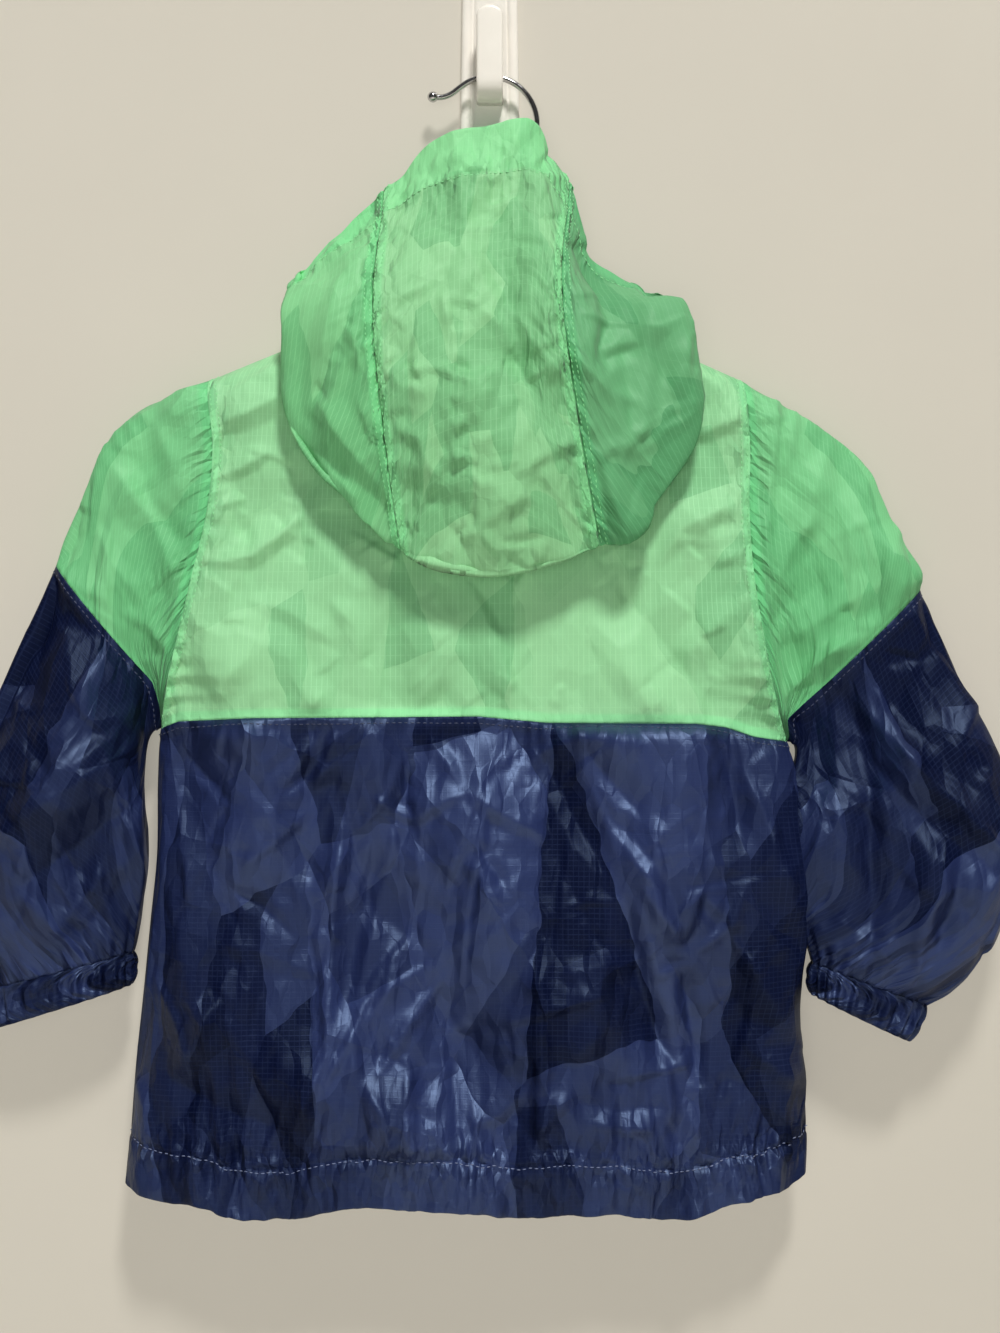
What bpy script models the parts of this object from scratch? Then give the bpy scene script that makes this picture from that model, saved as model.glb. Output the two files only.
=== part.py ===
"""Child's hooded windbreaker on a hanger, hung from a wall hook.

Frame: metres, +Z up, +Y into the wall. The origin is the middle of the wall hook's back face.
The jacket's back faces -Y. Left and right are the wearer's, so left is -X.
The tables below are in millimetres.
"""

import bpy
import bmesh
import math
import numpy as np
from mathutils import Matrix, Vector

MM = 0.001

# ---- cloth ------------------------------------------------------------------------------------
CLOTH = 1.2             # wall of a cut piece
CASING_CLOTH = 2.0      # wall where the cloth is turned in and stitched
CUFF_CLOTH = 1.5
SEAM_INSET = 0.15       # each piece stops this far short of its seam
CASING_START = 0.9      # share of the way down a lower panel where its turned hem starts
LOWER_ROWS = 15         # rows of points in a lower panel above the turned hem
HOOD_CASING = 0.075     # share of a hood rib taken by the turned face edge

# ---- the body of the jacket ---------------------------------------------------------------------
# Crest of the shoulders, along the hanger: (across, height)
SHOULDER_LINE = (
    (-230.0, -236.0), (-207.0, -212.0), (-178.5, -193.0), (-152.5, -180.5), (-112.0, -164.0),
    (-62.0, -145.0), (0.0, -122.0), (62.0, -149.0), (115.0, -171.0), (137.5, -181.0),
    (168.0, -200.0), (202.0, -225.5), (225.0, -250.0),
)

# Armhole seams above the underarm, side seams below it: (height, left, right)
PANEL_EDGES = (
    (-130.0, -152.5, 137.5),
    (-182.0, -152.5, 137.5),
    (-220.0, -148.5, 139.7),
    (-250.0, -151.0, 139.2),
    (-290.0, -160.0, 142.0),
    (-320.0, -167.0, 146.8),
    (-350.0, -174.5, 153.0),
    (-370.0, -178.7, 159.0),
    (-378.0, -179.8, 162.0),
    (-395.0, -180.6, 165.4),
    (-440.0, -181.2, 166.8),
    (-474.0, -184.5, 167.4),
    (-516.0, -188.5, 168.0),
    (-548.0, -191.8, 170.0),
    (-598.0, -195.6, 171.7),
    (-613.0, -197.0, 171.0),
    (-630.0, -197.5, 170.0),
)
UNDERARM = {"left": -370.0, "right": -377.0}

# Fullness of the body: (height, depth of the side seams, back in front of them, front behind them)
BODY_DEPTHS = (
    (-120.0, -20.0, 17.0, 10.0),
    (-200.0, -20.5, 18.0, 11.0),
    (-290.0, -21.0, 20.0, 11.5),
    (-370.0, -22.0, 22.0, 12.0),
    (-450.0, -23.0, 25.0, 13.0),
    (-540.0, -24.5, 27.0, 14.0),
    (-635.0, -26.0, 27.0, 14.0),
)
SHOULDER_ROUND = 22.0   # how far below the crest the cloth reaches its full depth
ARMHOLE_ROUND = 95.0    # height over which an armhole closes to the underarm
SIDE_POWER = 6.0        # the higher, the flatter the panel between its rounded sides

# Seam between yoke and lower back, and its match on the fronts: (across, height)
YOKE_SEAM = (
    (-178.7, -370.0), (-168.0, -366.0), (-128.0, -364.0), (-5.0, -363.0), (33.0, -366.5),
    (113.0, -367.0), (129.0, -369.0), (143.0, -374.0), (161.6, -377.0),
)
# Lower edge of the hem: (across, height)
HEM_LINE = (
    (-197.5, -613.0), (-188.0, -619.0), (-156.0, -623.0), (-131.0, -630.5), (-92.0, -626.0),
    (-76.0, -622.0), (-16.0, -624.0), (21.0, -629.0), (43.0, -625.5), (82.0, -628.0),
    (106.0, -629.0), (130.0, -622.0), (149.0, -618.5), (162.0, -616.0), (171.0, -611.0),
)

NECK_HALF = 62.0        # half the width of the neck, at the shoulder seams
NAPE_HEIGHT = -165.0
THROAT_HEIGHT = -190.0
NAPE_POWER = 2.2
THROAT_POWER = 2.0
NECK_PLACES = np.linspace(-0.5, 0.5, 13)   # points round the back of the neck seam

# Largest folds of the back, seen straight on:
# (start across, start height, end across, end height, width, height; a trough is below 0)
BACK_FOLDS = (
    (-77.0, -396.0, -84.0, -546.0, 26.0, -6.0),
    (-112.0, -380.0, -100.0, -470.0, 34.0, 3.5),
    (-58.0, -385.0, -52.0, -480.0, 34.0, 4.0),
    (-128.0, -520.0, -104.0, -590.0, 34.0, 4.0),
    (-61.0, -500.0, -72.0, -556.0, 26.0, 3.5),
    (12.0, -378.0, 60.0, -446.0, 26.0, -4.5),
    (60.0, -412.0, 108.0, -486.0, 28.0, 4.5),
    (132.0, -384.0, 158.0, -470.0, 26.0, -3.5),
    (78.0, -478.0, 94.0, -552.0, 26.0, -6.0),
    (103.0, -486.0, 114.0, -560.0, 26.0, 4.5),
    (-22.0, -540.0, -15.0, -606.0, 26.0, -4.5),
    (-20.0, -415.0, 26.0, -520.0, 60.0, 4.0),
    (24.0, -590.0, 64.0, -584.0, 24.0, 3.5),
    (134.0, -555.0, 140.0, -612.0, 26.0, -4.0),
    (-146.0, -200.0, -96.0, -222.0, 26.0, -3.5),
    (-144.0, -238.0, -110.0, -230.0, 24.0, 3.0),
    (-150.0, -286.0, -112.0, -250.0, 26.0, -3.0),
    (134.0, -206.0, 104.0, -218.0, 24.0, -3.0),
    (134.0, -256.0, 92.0, -284.0, 26.0, 3.0),
    (138.0, -306.0, 110.0, -360.0, 28.0, -3.0),
    (-6.0, -300.0, 14.0, -356.0, 34.0, 3.0),
)
# Folds of the fronts, plain hanging ones
FRONT_FOLDS = (
    (-120.0, -390.0, -132.0, -600.0, 40.0, 3.0),
    (-62.0, -300.0, -72.0, -560.0, 34.0, -3.5),
    (60.0, -320.0, 66.0, -590.0, 36.0, 3.0),
    (118.0, -390.0, 126.0, -600.0, 36.0, -3.5),
    (-140.0, -240.0, -96.0, -270.0, 30.0, -3.0),
    (130.0, -240.0, 90.0, -272.0, 30.0, -3.0),
)

# ---- sleeves ------------------------------------------------------------------------------------
# A row for each section from the armhole to the cuff:
# (outer across, outer height, inner across, inner height, middle depth, half depth)
SLEEVE_SECTIONS = {
    "left": (
        (-178.5, -193.0, -183.0, -371.6, -21.0, 15.5),
        (-207.0, -212.0, -185.6, -376.2, -22.0, 17.0),
        (-222.0, -247.0, -186.8, -382.4, -24.0, 18.0),
        (-234.5, -281.5, -187.2, -390.0, -26.0, 18.5),
        (-251.5, -319.0, -187.4, -399.0, -28.0, 19.0),
        (-269.5, -361.0, -186.8, -411.0, -30.0, 20.0),
        (-284.0, -403.0, -185.8, -427.0, -31.0, 21.0),
        (-289.5, -441.0, -185.2, -447.0, -31.0, 21.0),
        (-286.0, -477.0, -188.4, -470.0, -30.0, 19.0),
        (-271.8, -510.5, -193.0, -490.5, -28.0, 13.0),
    ),
    "right": (
        (168.0, -200.0, 166.8, -379.0, -21.0, 15.5),
        (202.0, -225.5, 169.4, -384.0, -22.0, 17.0),
        (219.5, -262.5, 170.6, -390.6, -24.0, 18.0),
        (233.0, -294.5, 171.0, -399.0, -26.0, 18.5),
        (246.5, -327.5, 171.4, -409.0, -28.0, 19.0),
        (260.0, -362.5, 171.6, -421.0, -30.0, 20.0),
        (276.5, -403.0, 171.4, -437.0, -31.0, 21.0),
        (283.0, -438.5, 171.2, -457.0, -31.0, 21.0),
        (277.0, -475.0, 172.4, -477.0, -30.0, 19.0),
        (236.5, -519.0, 174.6, -496.0, -28.0, 13.0),
    ),
}
# Lower end of each cuff, as a section
CUFF_ENDS = {
    "left": (-269.0, -531.5, -193.8, -508.0, -28.0, 12.0),
    "right": (227.5, -538.5, 173.8, -513.0, -28.0, 12.0),
}
# Seam between the two colours, seen straight on: (outer across, outer height, armhole across, height)
SLEEVE_SEAMS = {
    "left": (-234.5, -281.5, -177.6, -350.0),
    "right": (233.0, -294.5, 156.0, -369.5),
}
SECTION_POWER = 0.72    # below 1 squares a section's edges a little
RING = 24               # points round a sleeve, and twice those down an armhole
SEAM_REACH = {"left": 10, "right": 11}  # ring points each side of the crest that the upper sleeve covers
SEAM_END = (0.12, 0.3)  # shortest station of the colour seam, and its station at the last covered point
UNDERARM_STEP = 1.4     # the sleeve starts this far out from the body at the underarm
CUFF_RING = 63
CUFF_WAVES = 21
CUFF_WAVE = 0.9         # half the depth of a gather
SLEEVE_FOLDS = (
    (-203.0, -238.0, -172.0, -300.0, 30.0, -4.0),
    (172.0, -228.0, 158.0, -320.0, 28.0, -4.0),
    (212.0, -292.0, 170.0, -330.0, 28.0, 3.5),
    (-200.0, -352.0, -268.0, -424.0, 34.0, 5.5),
    (-196.0, -392.0, -262.0, -446.0, 30.0, -6.0),
    (-210.0, -440.0, -236.0, -486.0, 28.0, 3.5),
    (188.0, -346.0, 266.0, -450.0, 28.0, -5.0),
    (196.0, -356.0, 266.0, -430.0, 26.0, 4.0),
    (188.0, -390.0, 186.0, -468.0, 30.0, 4.5),
    (206.0, -398.0, 208.0, -500.0, 24.0, -5.0),
    (236.0, -430.0, 232.0, -490.0, 32.0, 4.0),
)

# ---- hood ---------------------------------------------------------------------------------------
# A row for each rib, from the left chin over the crown to the right chin. A rib runs from the face
# edge over the belly and the bottom fold to the neck seam: (place round the neck, 1 where it rolls
# over the back, then across, depth and height of its face edge, belly and fold)
HOOD_RIBS = (
    (-1.00, 0, -4.6, -6.5, -160.0, -4.6, -7.0, -168.0, -4.6, -8.0, -177.0),
    (-0.75, 0, -70.0, -8.0, -124.0, -60.0, -8.0, -135.0, -47.5, -8.5, -145.5),
    (-0.64, 1, -93.0, -12.0, -123.0, -92.0, -20.0, -132.0, -80.0, -23.0, -137.0),
    (-0.54, 1, -109.0, -23.0, -129.0, -111.0, -47.0, -158.0, -106.0, -48.0, -196.0),
    (-0.40, 1, -84.0, -25.0, -103.5, -86.0, -64.0, -171.0, -74.0, -57.0, -252.0),
    (-0.25, 1, -57.5, -28.0, -79.0, -59.0, -73.0, -178.0, -46.0, -61.0, -275.0),
    (-0.12, 1, -32.0, -30.0, -53.5, -30.5, -77.0, -191.0, -26.0, -63.0, -284.0),
    (0.00, 1, -1.0, -31.0, -44.5, -2.5, -78.0, -199.0, -2.0, -63.0, -287.0),
    (0.12, 1, 27.0, -30.0, -44.0, 21.0, -77.0, -191.0, 26.5, -63.0, -284.0),
    (0.25, 1, 43.0, -28.0, -74.0, 40.5, -72.0, -170.0, 58.0, -60.0, -273.0),
    (0.40, 1, 61.5, -25.0, -119.5, 66.0, -64.0, -171.0, 84.5, -56.0, -255.0),
    (0.54, 1, 95.0, -23.0, -134.0, 107.0, -47.0, -160.0, 110.0, -48.0, -195.0),
    (0.64, 1, 88.0, -12.0, -128.0, 90.0, -20.0, -137.0, 80.0, -23.0, -141.0),
    (0.75, 0, 68.0, -8.0, -128.0, 60.0, -8.0, -139.0, 49.5, -8.5, -150.0),
    (1.00, 0, 4.6, -6.5, -160.0, 4.6, -7.0, -168.0, 4.6, -8.0, -177.0),
)
RIB_STATIONS = (0.0, 0.40, 0.62, 0.80, 0.955, 1.0)   # face edge, belly, fold, under, roll, neck
HOOD_SEAM = 0.25        # place round the neck of each seam of the middle panel
# Columns of points of a side panel, as places round the neck; they lie closer over the shoulder
SIDE_PLACES = (0.25, 0.2917, 0.3333, 0.375, 0.4167, 0.437, 0.458, 0.479, 0.5, 0.525, 0.555, 0.583, 0.61,
               0.637, 0.6667, 0.75, 0.8333, 0.9167, 1.0)
# Rows of points along the ribs, after the turned face edge
RIB_ROWS = (0.16, 0.24, 0.32, 0.40, 0.48, 0.56, 0.60, 0.66, 0.72, 0.78, 0.84, 0.87, 0.90, 0.935, 0.97, 1.0)
HOOD_CLEAR = 4.7        # the hood lies this far off the back and the shoulders, wall middle to wall middle
HOOD_OVER_BACK = 0.6    # ribs nearer the nape than this hang down the back
HOOD_LIFT = 1.5         # and starts this far above the shoulder seams
HOOD_ROLL = (3.5, -6.0, 5.5)   # outward, depth and height of the roll above the neck seam

# ---- zip ----------------------------------------------------------------------------------------
ZIP_TOP = (0.0, -190.0)
ZIP_FOOT = (-11.0, -622.0)
ZIP_HALF = 4.4          # from the middle of the zip to each front's edge
TAPE_CLOTH = 1.0
SLIDER = (8.4, 1.5, 12.0)      # across, depth, height
SLIDER_DROP = 20.0      # middle of the slider below the throat
LUG = (1.1, 3.6, 3.4)
PIN_RADIUS = 0.7
BARREL_RADIUS = 1.5
BARREL_BORE = 1.0
BARREL_LENGTH = 3.6
TAB = (5.2, 1.2, 24.0)

# ---- hanger and wall hook -----------------------------------------------------------------------
HANGER_RADIUS = 4.0
HANGER_DEPTH = -20.5
HANGER_SPAN = (-198.0, 189.0)
HANGER_CLEAR = 1.0      # between the hanger and the cloth that rests on it
BOSS_RADIUS = 5.5
BOSS_HEIGHTS = (-126.0, -101.0)
WIRE_RADIUS = 1.6
WIRE_CLEAR = 0.3
HOOK_CENTRE = (0.0, -38.3)     # across, height
HOOK_RADIUS = 26.0
HOOK_DEPTH = -13.0
HOOK_ARC = (-62.0, 118.0)      # degrees
HOOK_TIP = ((-17.0, -18.6), (-21.5, -21.9), (-26.5, -23.6), (-31.0, -23.4))
BALL_RADIUS = 3.0
PLATE = (33.0, 5.0, 90.0)
PRONG_WIDTH = 14.0
PRONG_CLOTH = 5.0
TROUGH = (-5.0, -17.5, -15.2)  # depth of the plate's face, depth of the tip's inner face, height
PRONG_TIP = 25.0
PRONG_FOOT = -26.0

COLOURS = {
    "green": (0.045, 0.36, 0.17),
    "navy": (0.018, 0.026, 0.06),
    "zip": (0.012, 0.016, 0.035),
    "white": (0.86, 0.86, 0.84),
    "chrome": (0.78, 0.78, 0.78),
}


# ---- tables and curves --------------------------------------------------------------------------
def spline(knots, values, at):
    """A smooth curve through the values at the knots, read at the given places."""
    knots = np.asarray(knots, float)
    values = np.asarray(values, float)
    at = np.asarray(at, float)
    steps = np.diff(knots).reshape((-1,) + (1,) * (values.ndim - 1))
    slopes = np.diff(values, axis=0) / steps
    inner = (slopes[:-1] * steps[1:] + slopes[1:] * steps[:-1]) / (steps[:-1] + steps[1:])
    slopes = np.concatenate([slopes[:1], inner, slopes[-1:]])
    place = np.clip(np.searchsorted(knots, at, side="right") - 1, 0, len(knots) - 2)
    width = knots[place + 1] - knots[place]
    t = (at - knots[place]) / width
    shape = t.shape + (1,) * (values.ndim - 1)
    t, width = t.reshape(shape), width.reshape(shape)
    start, end = values[place], values[place + 1]
    return (
        start * (1 + 2 * t) * (1 - t) ** 2
        + end * t ** 2 * (3 - 2 * t)
        + slopes[place] * width * t * (1 - t) ** 2
        - slopes[place + 1] * width * t ** 2 * (1 - t)
    )


def column(table, index):
    return np.array([row[index] for row in table], float)


def by_height(table, index, height):
    return spline(column(table, 0)[::-1], column(table, index)[::-1], height)


def along(line, across):
    """Height of a line of straight runs at a place across the jacket."""
    return np.interp(across, column(line, 0), column(line, 1))


def smooth_step(value):
    value = np.clip(value, 0, 1)
    return value * value * (3 - 2 * value)


def fold_height(folds, across, height):
    """Sum of the folds' heights at points seen straight on."""
    total = np.zeros(np.broadcast(across, height).shape)
    for x0, z0, x1, z1, width, tall in folds:
        length = math.hypot(x1 - x0, z1 - z0)
        along_x, along_z = (x1 - x0) / length, (z1 - z0) / length
        t = ((across - x0) * along_x + (height - z0) * along_z) / length
        off = (across - x0) * along_z - (height - z0) * along_x
        ends = smooth_step(t / 0.3) * smooth_step((1 - t) / 0.3)
        total += tall * ends * np.exp(-((off / (0.42 * width)) ** 2))
    return total


# ---- surface of the body ------------------------------------------------------------------------
def edge_across(side, height):
    return by_height(PANEL_EDGES, 1 if side == "left" else 2, height)


def armhole_closing(side, height):
    """0 where an armhole is wide open, 1 at the underarm and all the way below it."""
    rise = np.clip((height - UNDERARM[side]) / ARMHOLE_ROUND, 0, 1)
    return 1 - rise ** 1.6


def body_depth(face, across, height):
    """Depth of the back or the front panel at a point seen straight on."""
    left = edge_across("left", height)
    right = edge_across("right", height)
    middle = (left + right) / 2
    share_left = (middle - across) / (middle - left) * armhole_closing("left", height)
    share_right = (across - middle) / (right - middle) * armhole_closing("right", height)
    share = np.clip(np.where(across < middle, share_left, share_right), 0, 1)
    side = np.sqrt(1 - share ** SIDE_POWER)
    below = np.clip((along(SHOULDER_LINE, across) - height) / SHOULDER_ROUND, 0, 1)
    top = np.sqrt(1 - (1 - below) ** 2)
    full = by_height(BODY_DEPTHS, 2 if face == "back" else 3, height)
    towards = -1 if face == "back" else 1
    return by_height(BODY_DEPTHS, 1, height) + towards * full * side * top


def body_normal(face, across, height):
    """Outward direction, from the slope of the panel; it lies over at a crest or a side seam."""
    step = 0.25
    middle = (edge_across("left", height) + edge_across("right", height)) / 2
    inward = np.where(across < middle, step, -step)
    here = body_depth(face, across, height)
    slope_x = (body_depth(face, across + inward, height) - here) / inward
    slope_z = (here - body_depth(face, across, height - step)) / step
    towards = -1 if face == "back" else 1
    normal = np.stack([-slope_x * towards, np.full_like(here, towards), -slope_z * towards], -1)
    return normal / np.linalg.norm(normal, axis=-1, keepdims=True)


def neck_line(face, across):
    """Height of the neck seam."""
    low, power = (NAPE_HEIGHT, NAPE_POWER) if face == "back" else (THROAT_HEIGHT, THROAT_POWER)
    share = np.clip(np.abs(across) / NECK_HALF, 0, 1)
    ends = along(SHOULDER_LINE, np.where(across < 0, -NECK_HALF, NECK_HALF))
    return low + (ends - low) * share ** power


def top_line(face, across):
    inside = np.abs(across) < NECK_HALF
    return np.where(inside, neck_line(face, across), along(SHOULDER_LINE, across))


def zip_across(height):
    drop = (height - ZIP_TOP[1]) / (ZIP_FOOT[1] - ZIP_TOP[1])
    return ZIP_TOP[0] + drop * (ZIP_FOOT[0] - ZIP_TOP[0])


# ---- walls --------------------------------------------------------------------------------------
def unit(vectors):
    return vectors / np.maximum(np.linalg.norm(vectors, axis=-1, keepdims=True), 1e-9)


def grid_normals(points, closed):
    """Directions square to a grid of points, to the left of its rows seen along its columns."""
    down = np.gradient(points, axis=0)
    if closed:
        across = np.roll(points, -1, 1) - np.roll(points, 1, 1)
    else:
        across = np.gradient(points, axis=1)
    return unit(np.cross(down, across))


def inset_edges(points, closed):
    """Pulls the borders of a grid in from its seams."""
    moved = points.copy()
    moved[0] += SEAM_INSET * unit(points[1] - points[0])
    moved[-1] += SEAM_INSET * unit(points[-2] - points[-1])
    if not closed:
        moved[:, 0] += SEAM_INSET * unit(points[:, 1] - points[:, 0])
        moved[:, -1] += SEAM_INSET * unit(points[:, -2] - points[:, -1])
    return moved


def cloth_piece(name, colour, points, normals, wall, closed=False):
    """A wall of cloth on both sides of a grid of points, with rims all round."""
    rows, columns = points.shape[:2]
    points = inset_edges(points, closed)
    half = (np.broadcast_to(wall, (rows, columns)) / 2)[..., None]
    mesh = bpy.data.meshes.new(name)
    work = bmesh.new()
    outer = [[work.verts.new(co * MM) for co in row] for row in points + normals * half]
    inner = [[work.verts.new(co * MM) for co in row] for row in points - normals * half]
    last = columns if closed else columns - 1
    for i in range(rows - 1):
        for j in range(last):
            k = (j + 1) % columns
            work.faces.new((outer[i][j], outer[i + 1][j], outer[i + 1][k], outer[i][k]))
            work.faces.new((inner[i][j], inner[i][k], inner[i + 1][k], inner[i + 1][j]))
    for j in range(last):
        k = (j + 1) % columns
        work.faces.new((outer[0][j], outer[0][k], inner[0][k], inner[0][j]))
        work.faces.new((outer[-1][k], outer[-1][j], inner[-1][j], inner[-1][k]))
    if not closed:
        for i in range(rows - 1):
            work.faces.new((outer[i + 1][0], outer[i][0], inner[i][0], inner[i + 1][0]))
            work.faces.new((outer[i][-1], outer[i + 1][-1], inner[i + 1][-1], inner[i][-1]))
    bmesh.ops.triangulate(work, faces=work.faces, quad_method="SHORT_EDGE")
    if work.calc_volume(signed=True) < 0:
        bmesh.ops.reverse_faces(work, faces=work.faces)
    work.to_mesh(mesh)
    work.free()
    mesh.shade_smooth()
    return add_object(name, mesh, colour)


def add_object(name, mesh, colour):
    node = bpy.data.objects.new(name, mesh)
    material = bpy.data.materials.new(name)
    material.use_nodes = True
    shader = material.node_tree.nodes["Principled BSDF"]
    shader.inputs["Base Color"].default_value = (*COLOURS[colour], 1.0)
    shader.inputs["Roughness"].default_value = {"chrome": 0.12, "white": 0.25}.get(colour, 0.5)
    shader.inputs["Metallic"].default_value = 1.0 if colour == "chrome" else 0.0
    material.diffuse_color = (*COLOURS[colour], 1.0)
    mesh.materials.clear()
    mesh.materials.append(material)
    jacket.objects.link(node)
    return node


# ---- back and fronts ----------------------------------------------------------------------------
def armhole_shares():
    """Shares of the way down an armhole of the points where yoke and sleeve meet."""
    return (1 - np.cos(np.linspace(0, math.pi, RING // 2 + 1))) / 2


def panel_points(face, folds, share_across, height):
    """Points, outward directions and folds of a panel; share_across runs from left to right."""
    across = edge_across("left", height) * (1 - share_across) + edge_across("right", height) * share_across
    points = np.stack([across, body_depth(face, across, height), height], -1)
    normals = body_normal(face, across, height)
    edge = smooth_step(share_across / 0.06) * smooth_step((1 - share_across) / 0.06)
    return points + normals * (fold_height(folds, across, height) * edge)[..., None], normals


def neck_across(places):
    """Across the jacket at places round the neck: 0 at the nape, 0.5 at a shoulder, 1 at the zip."""
    swing = np.sin(math.pi * np.abs(places))
    front = ZIP_HALF + (NECK_HALF - ZIP_HALF) * swing
    return np.sign(places) * np.where(np.abs(places) <= 0.5, NECK_HALF * swing, front)


def neck_share(across):
    left, right = PANEL_EDGES[0][1], PANEL_EDGES[0][2]
    return (across - left) / (right - left)


def upper_heights(face, share_across, shares_down):
    """Heights of an upper panel's points, rows down and columns across."""
    left, right = PANEL_EDGES[0][1], PANEL_EDGES[0][2]
    across_top = left + (right - left) * share_across
    top = top_line(face, across_top)
    seam_ends = edge_across("left", UNDERARM["left"]), edge_across("right", UNDERARM["right"])
    across_seam = seam_ends[0] * (1 - share_across) + seam_ends[1] * share_across
    seam = along(YOKE_SEAM, across_seam)
    return top + (seam - top) * shares_down[:, None]


def build_upper(name, face, folds, shares):
    shares_down = armhole_shares()
    height = upper_heights(face, shares, shares_down)
    share_across = np.broadcast_to(shares, height.shape)
    points, normals = panel_points(face, folds, share_across, height)
    if face == "front":
        points, normals = points[:, ::-1], normals[:, ::-1]
    return cloth_piece(name, "green", points, normals, CLOTH)


def lower_heights(shares):
    """Heights of a lower panel's points, rows down and columns across, and its wall row by row."""
    seam_ends = edge_across("left", UNDERARM["left"]), edge_across("right", UNDERARM["right"])
    seam = along(YOKE_SEAM, seam_ends[0] * (1 - shares) + seam_ends[1] * shares)
    hem_ends = PANEL_EDGES[-2][1], PANEL_EDGES[-2][2]
    hem = along(HEM_LINE, hem_ends[0] * (1 - shares) + hem_ends[1] * shares)
    shares_down = np.concatenate([np.linspace(0, CASING_START - 0.01, LOWER_ROWS), [CASING_START, 0.95, 1.0]])
    turned = (shares_down >= CASING_START)[:, None] & (np.minimum(shares, 1 - shares) > 0.001)
    return seam + (hem - seam) * shares_down[:, None], np.where(turned, CASING_CLOTH, CLOTH)


def build_lower(name, face, folds, shares):
    height, wall = lower_heights(shares)
    points, normals = panel_points(face, folds, np.broadcast_to(shares, height.shape), height)
    cloth_piece(name, "navy", points, normals, wall)


def yoke_shares():
    """Shares across the yoke, with a column at each end of the neck."""
    middle = neck_share(neck_across(NECK_PLACES))
    outer = np.linspace(0, 1, 8) ** 1.4
    return np.concatenate([middle[0] * outer[:-1], middle, 1 - (1 - middle[-1]) * outer[::-1][1:]])


def front_shares(side):
    """Shares across one front, from its armhole to the zip's edge, with a column at the neck."""
    inner = neck_share(neck_across(np.linspace(0.5, 1, 7) * (-1 if side == "left" else 1)))
    outer = np.linspace(0, 1, 7) ** 1.4
    if side == "left":
        return np.concatenate([inner[0] * outer[:-1], inner])
    return np.concatenate([inner[::-1], 1 - (1 - inner[0]) * outer[::-1][1:]])


def zip_share(height, off):
    left, right = edge_across("left", height), edge_across("right", height)
    return (zip_across(height) + off - left) / (right - left)


def build_front(side):
    """Both pieces of one front. Their inner edges follow the zip."""
    for part, colour in (("upper", "green"), ("lower", "navy")):
        base = front_shares(side)
        if part == "upper":
            heights, wall = upper_heights("front", base, armhole_shares()), CLOTH
        else:
            heights, wall = lower_heights(base)
        inner = base[-1] if side == "left" else base[0]
        outer = base[0] if side == "left" else base[-1]
        reach = (base - outer) / (inner - outer)
        off = -ZIP_HALF if side == "left" else ZIP_HALF
        goal = zip_share(heights, off)
        shares = base + (goal - inner) * smooth_step(reach)
        points, normals = panel_points("front", FRONT_FOLDS, shares, heights)
        points, normals = points[:, ::-1], normals[:, ::-1]
        cloth_piece(f"front_{side}_{part}", colour, points, normals, wall)


# ---- sleeves ------------------------------------------------------------------------------------
def armhole_ring(side, angles):
    """Points and outward directions of the armhole, from the shoulder down the back and up again."""
    top = along(SHOULDER_LINE, edge_across(side, PANEL_EDGES[1][0]))
    height = top + (UNDERARM[side] - top) * (1 - np.cos(angles)) / 2
    across = edge_across(side, height)
    back = np.sin(angles) >= -1e-9
    depth = np.where(back, body_depth("back", across, height), body_depth("front", across, height))
    normal = np.where(
        back[:, None], body_normal("back", across, height), body_normal("front", across, height)
    )
    return np.stack([across, depth, height], -1), normal


def section_ring(row, angles):
    """One sleeve section: a flattened ring between its outer and its inner edge."""
    outer_x, outer_z, inner_x, inner_z, middle, half = row
    share = (1 - np.cos(angles)) / 2
    bulge = np.sign(np.sin(angles)) * np.abs(np.sin(angles)) ** SECTION_POWER
    return np.stack([
        outer_x + (inner_x - outer_x) * share,
        middle - half * bulge,
        outer_z + (inner_z - outer_z) * share,
    ], -1)


def sleeve_rings(side, angles):
    rings = [armhole_ring(side, angles)[0]]
    rings += [section_ring(row, angles) for row in SLEEVE_SECTIONS[side]]
    return np.array(rings)


def ring_angles(count):
    return np.arange(count) * 2 * math.pi / count


def sleeve_surface(side, angles, stations):
    """Points of the sleeve at a table of stations, a column for each angle."""
    rings = sleeve_rings(side, angles)
    knots = np.arange(len(rings))
    columns = [spline(knots, rings[:, j], stations[:, j]) for j in range(len(angles))]
    return np.stack(columns, 1)


def seam_stations(side, angles):
    """The station at which each line down the sleeve crosses the colour seam."""
    x0, z0, x1, z1 = SLEEVE_SEAMS[side]
    found = []
    tries = np.linspace(0, 6, 241)[:, None]
    surface = sleeve_surface(side, angles, np.repeat(tries, len(angles), 1))
    side_of = (surface[..., 0] - x0) * (z1 - z0) - (surface[..., 2] - z0) * (x1 - x0)
    start = side_of[0, 0]
    for j in range(len(angles)):
        crossed = np.nonzero(side_of[:, j] * start < 0)[0]
        found.append(tries[crossed[0], 0] if len(crossed) else 6.0)
    return np.array(found)


def fold_sleeve(points, normals):
    """Folds show on the back of the sleeve and fade round its edges."""
    facing = np.clip(-normals[..., 1], 0, 1)
    height = fold_height(SLEEVE_FOLDS, points[..., 0], points[..., 2]) * facing
    return points + normals * height[..., None]


def ring_normals(points):
    normals = grid_normals(points, True)
    centre = points.mean(axis=1, keepdims=True)
    if np.sum(normals * (points - centre)) < 0:
        normals = -normals
    return normals


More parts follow.
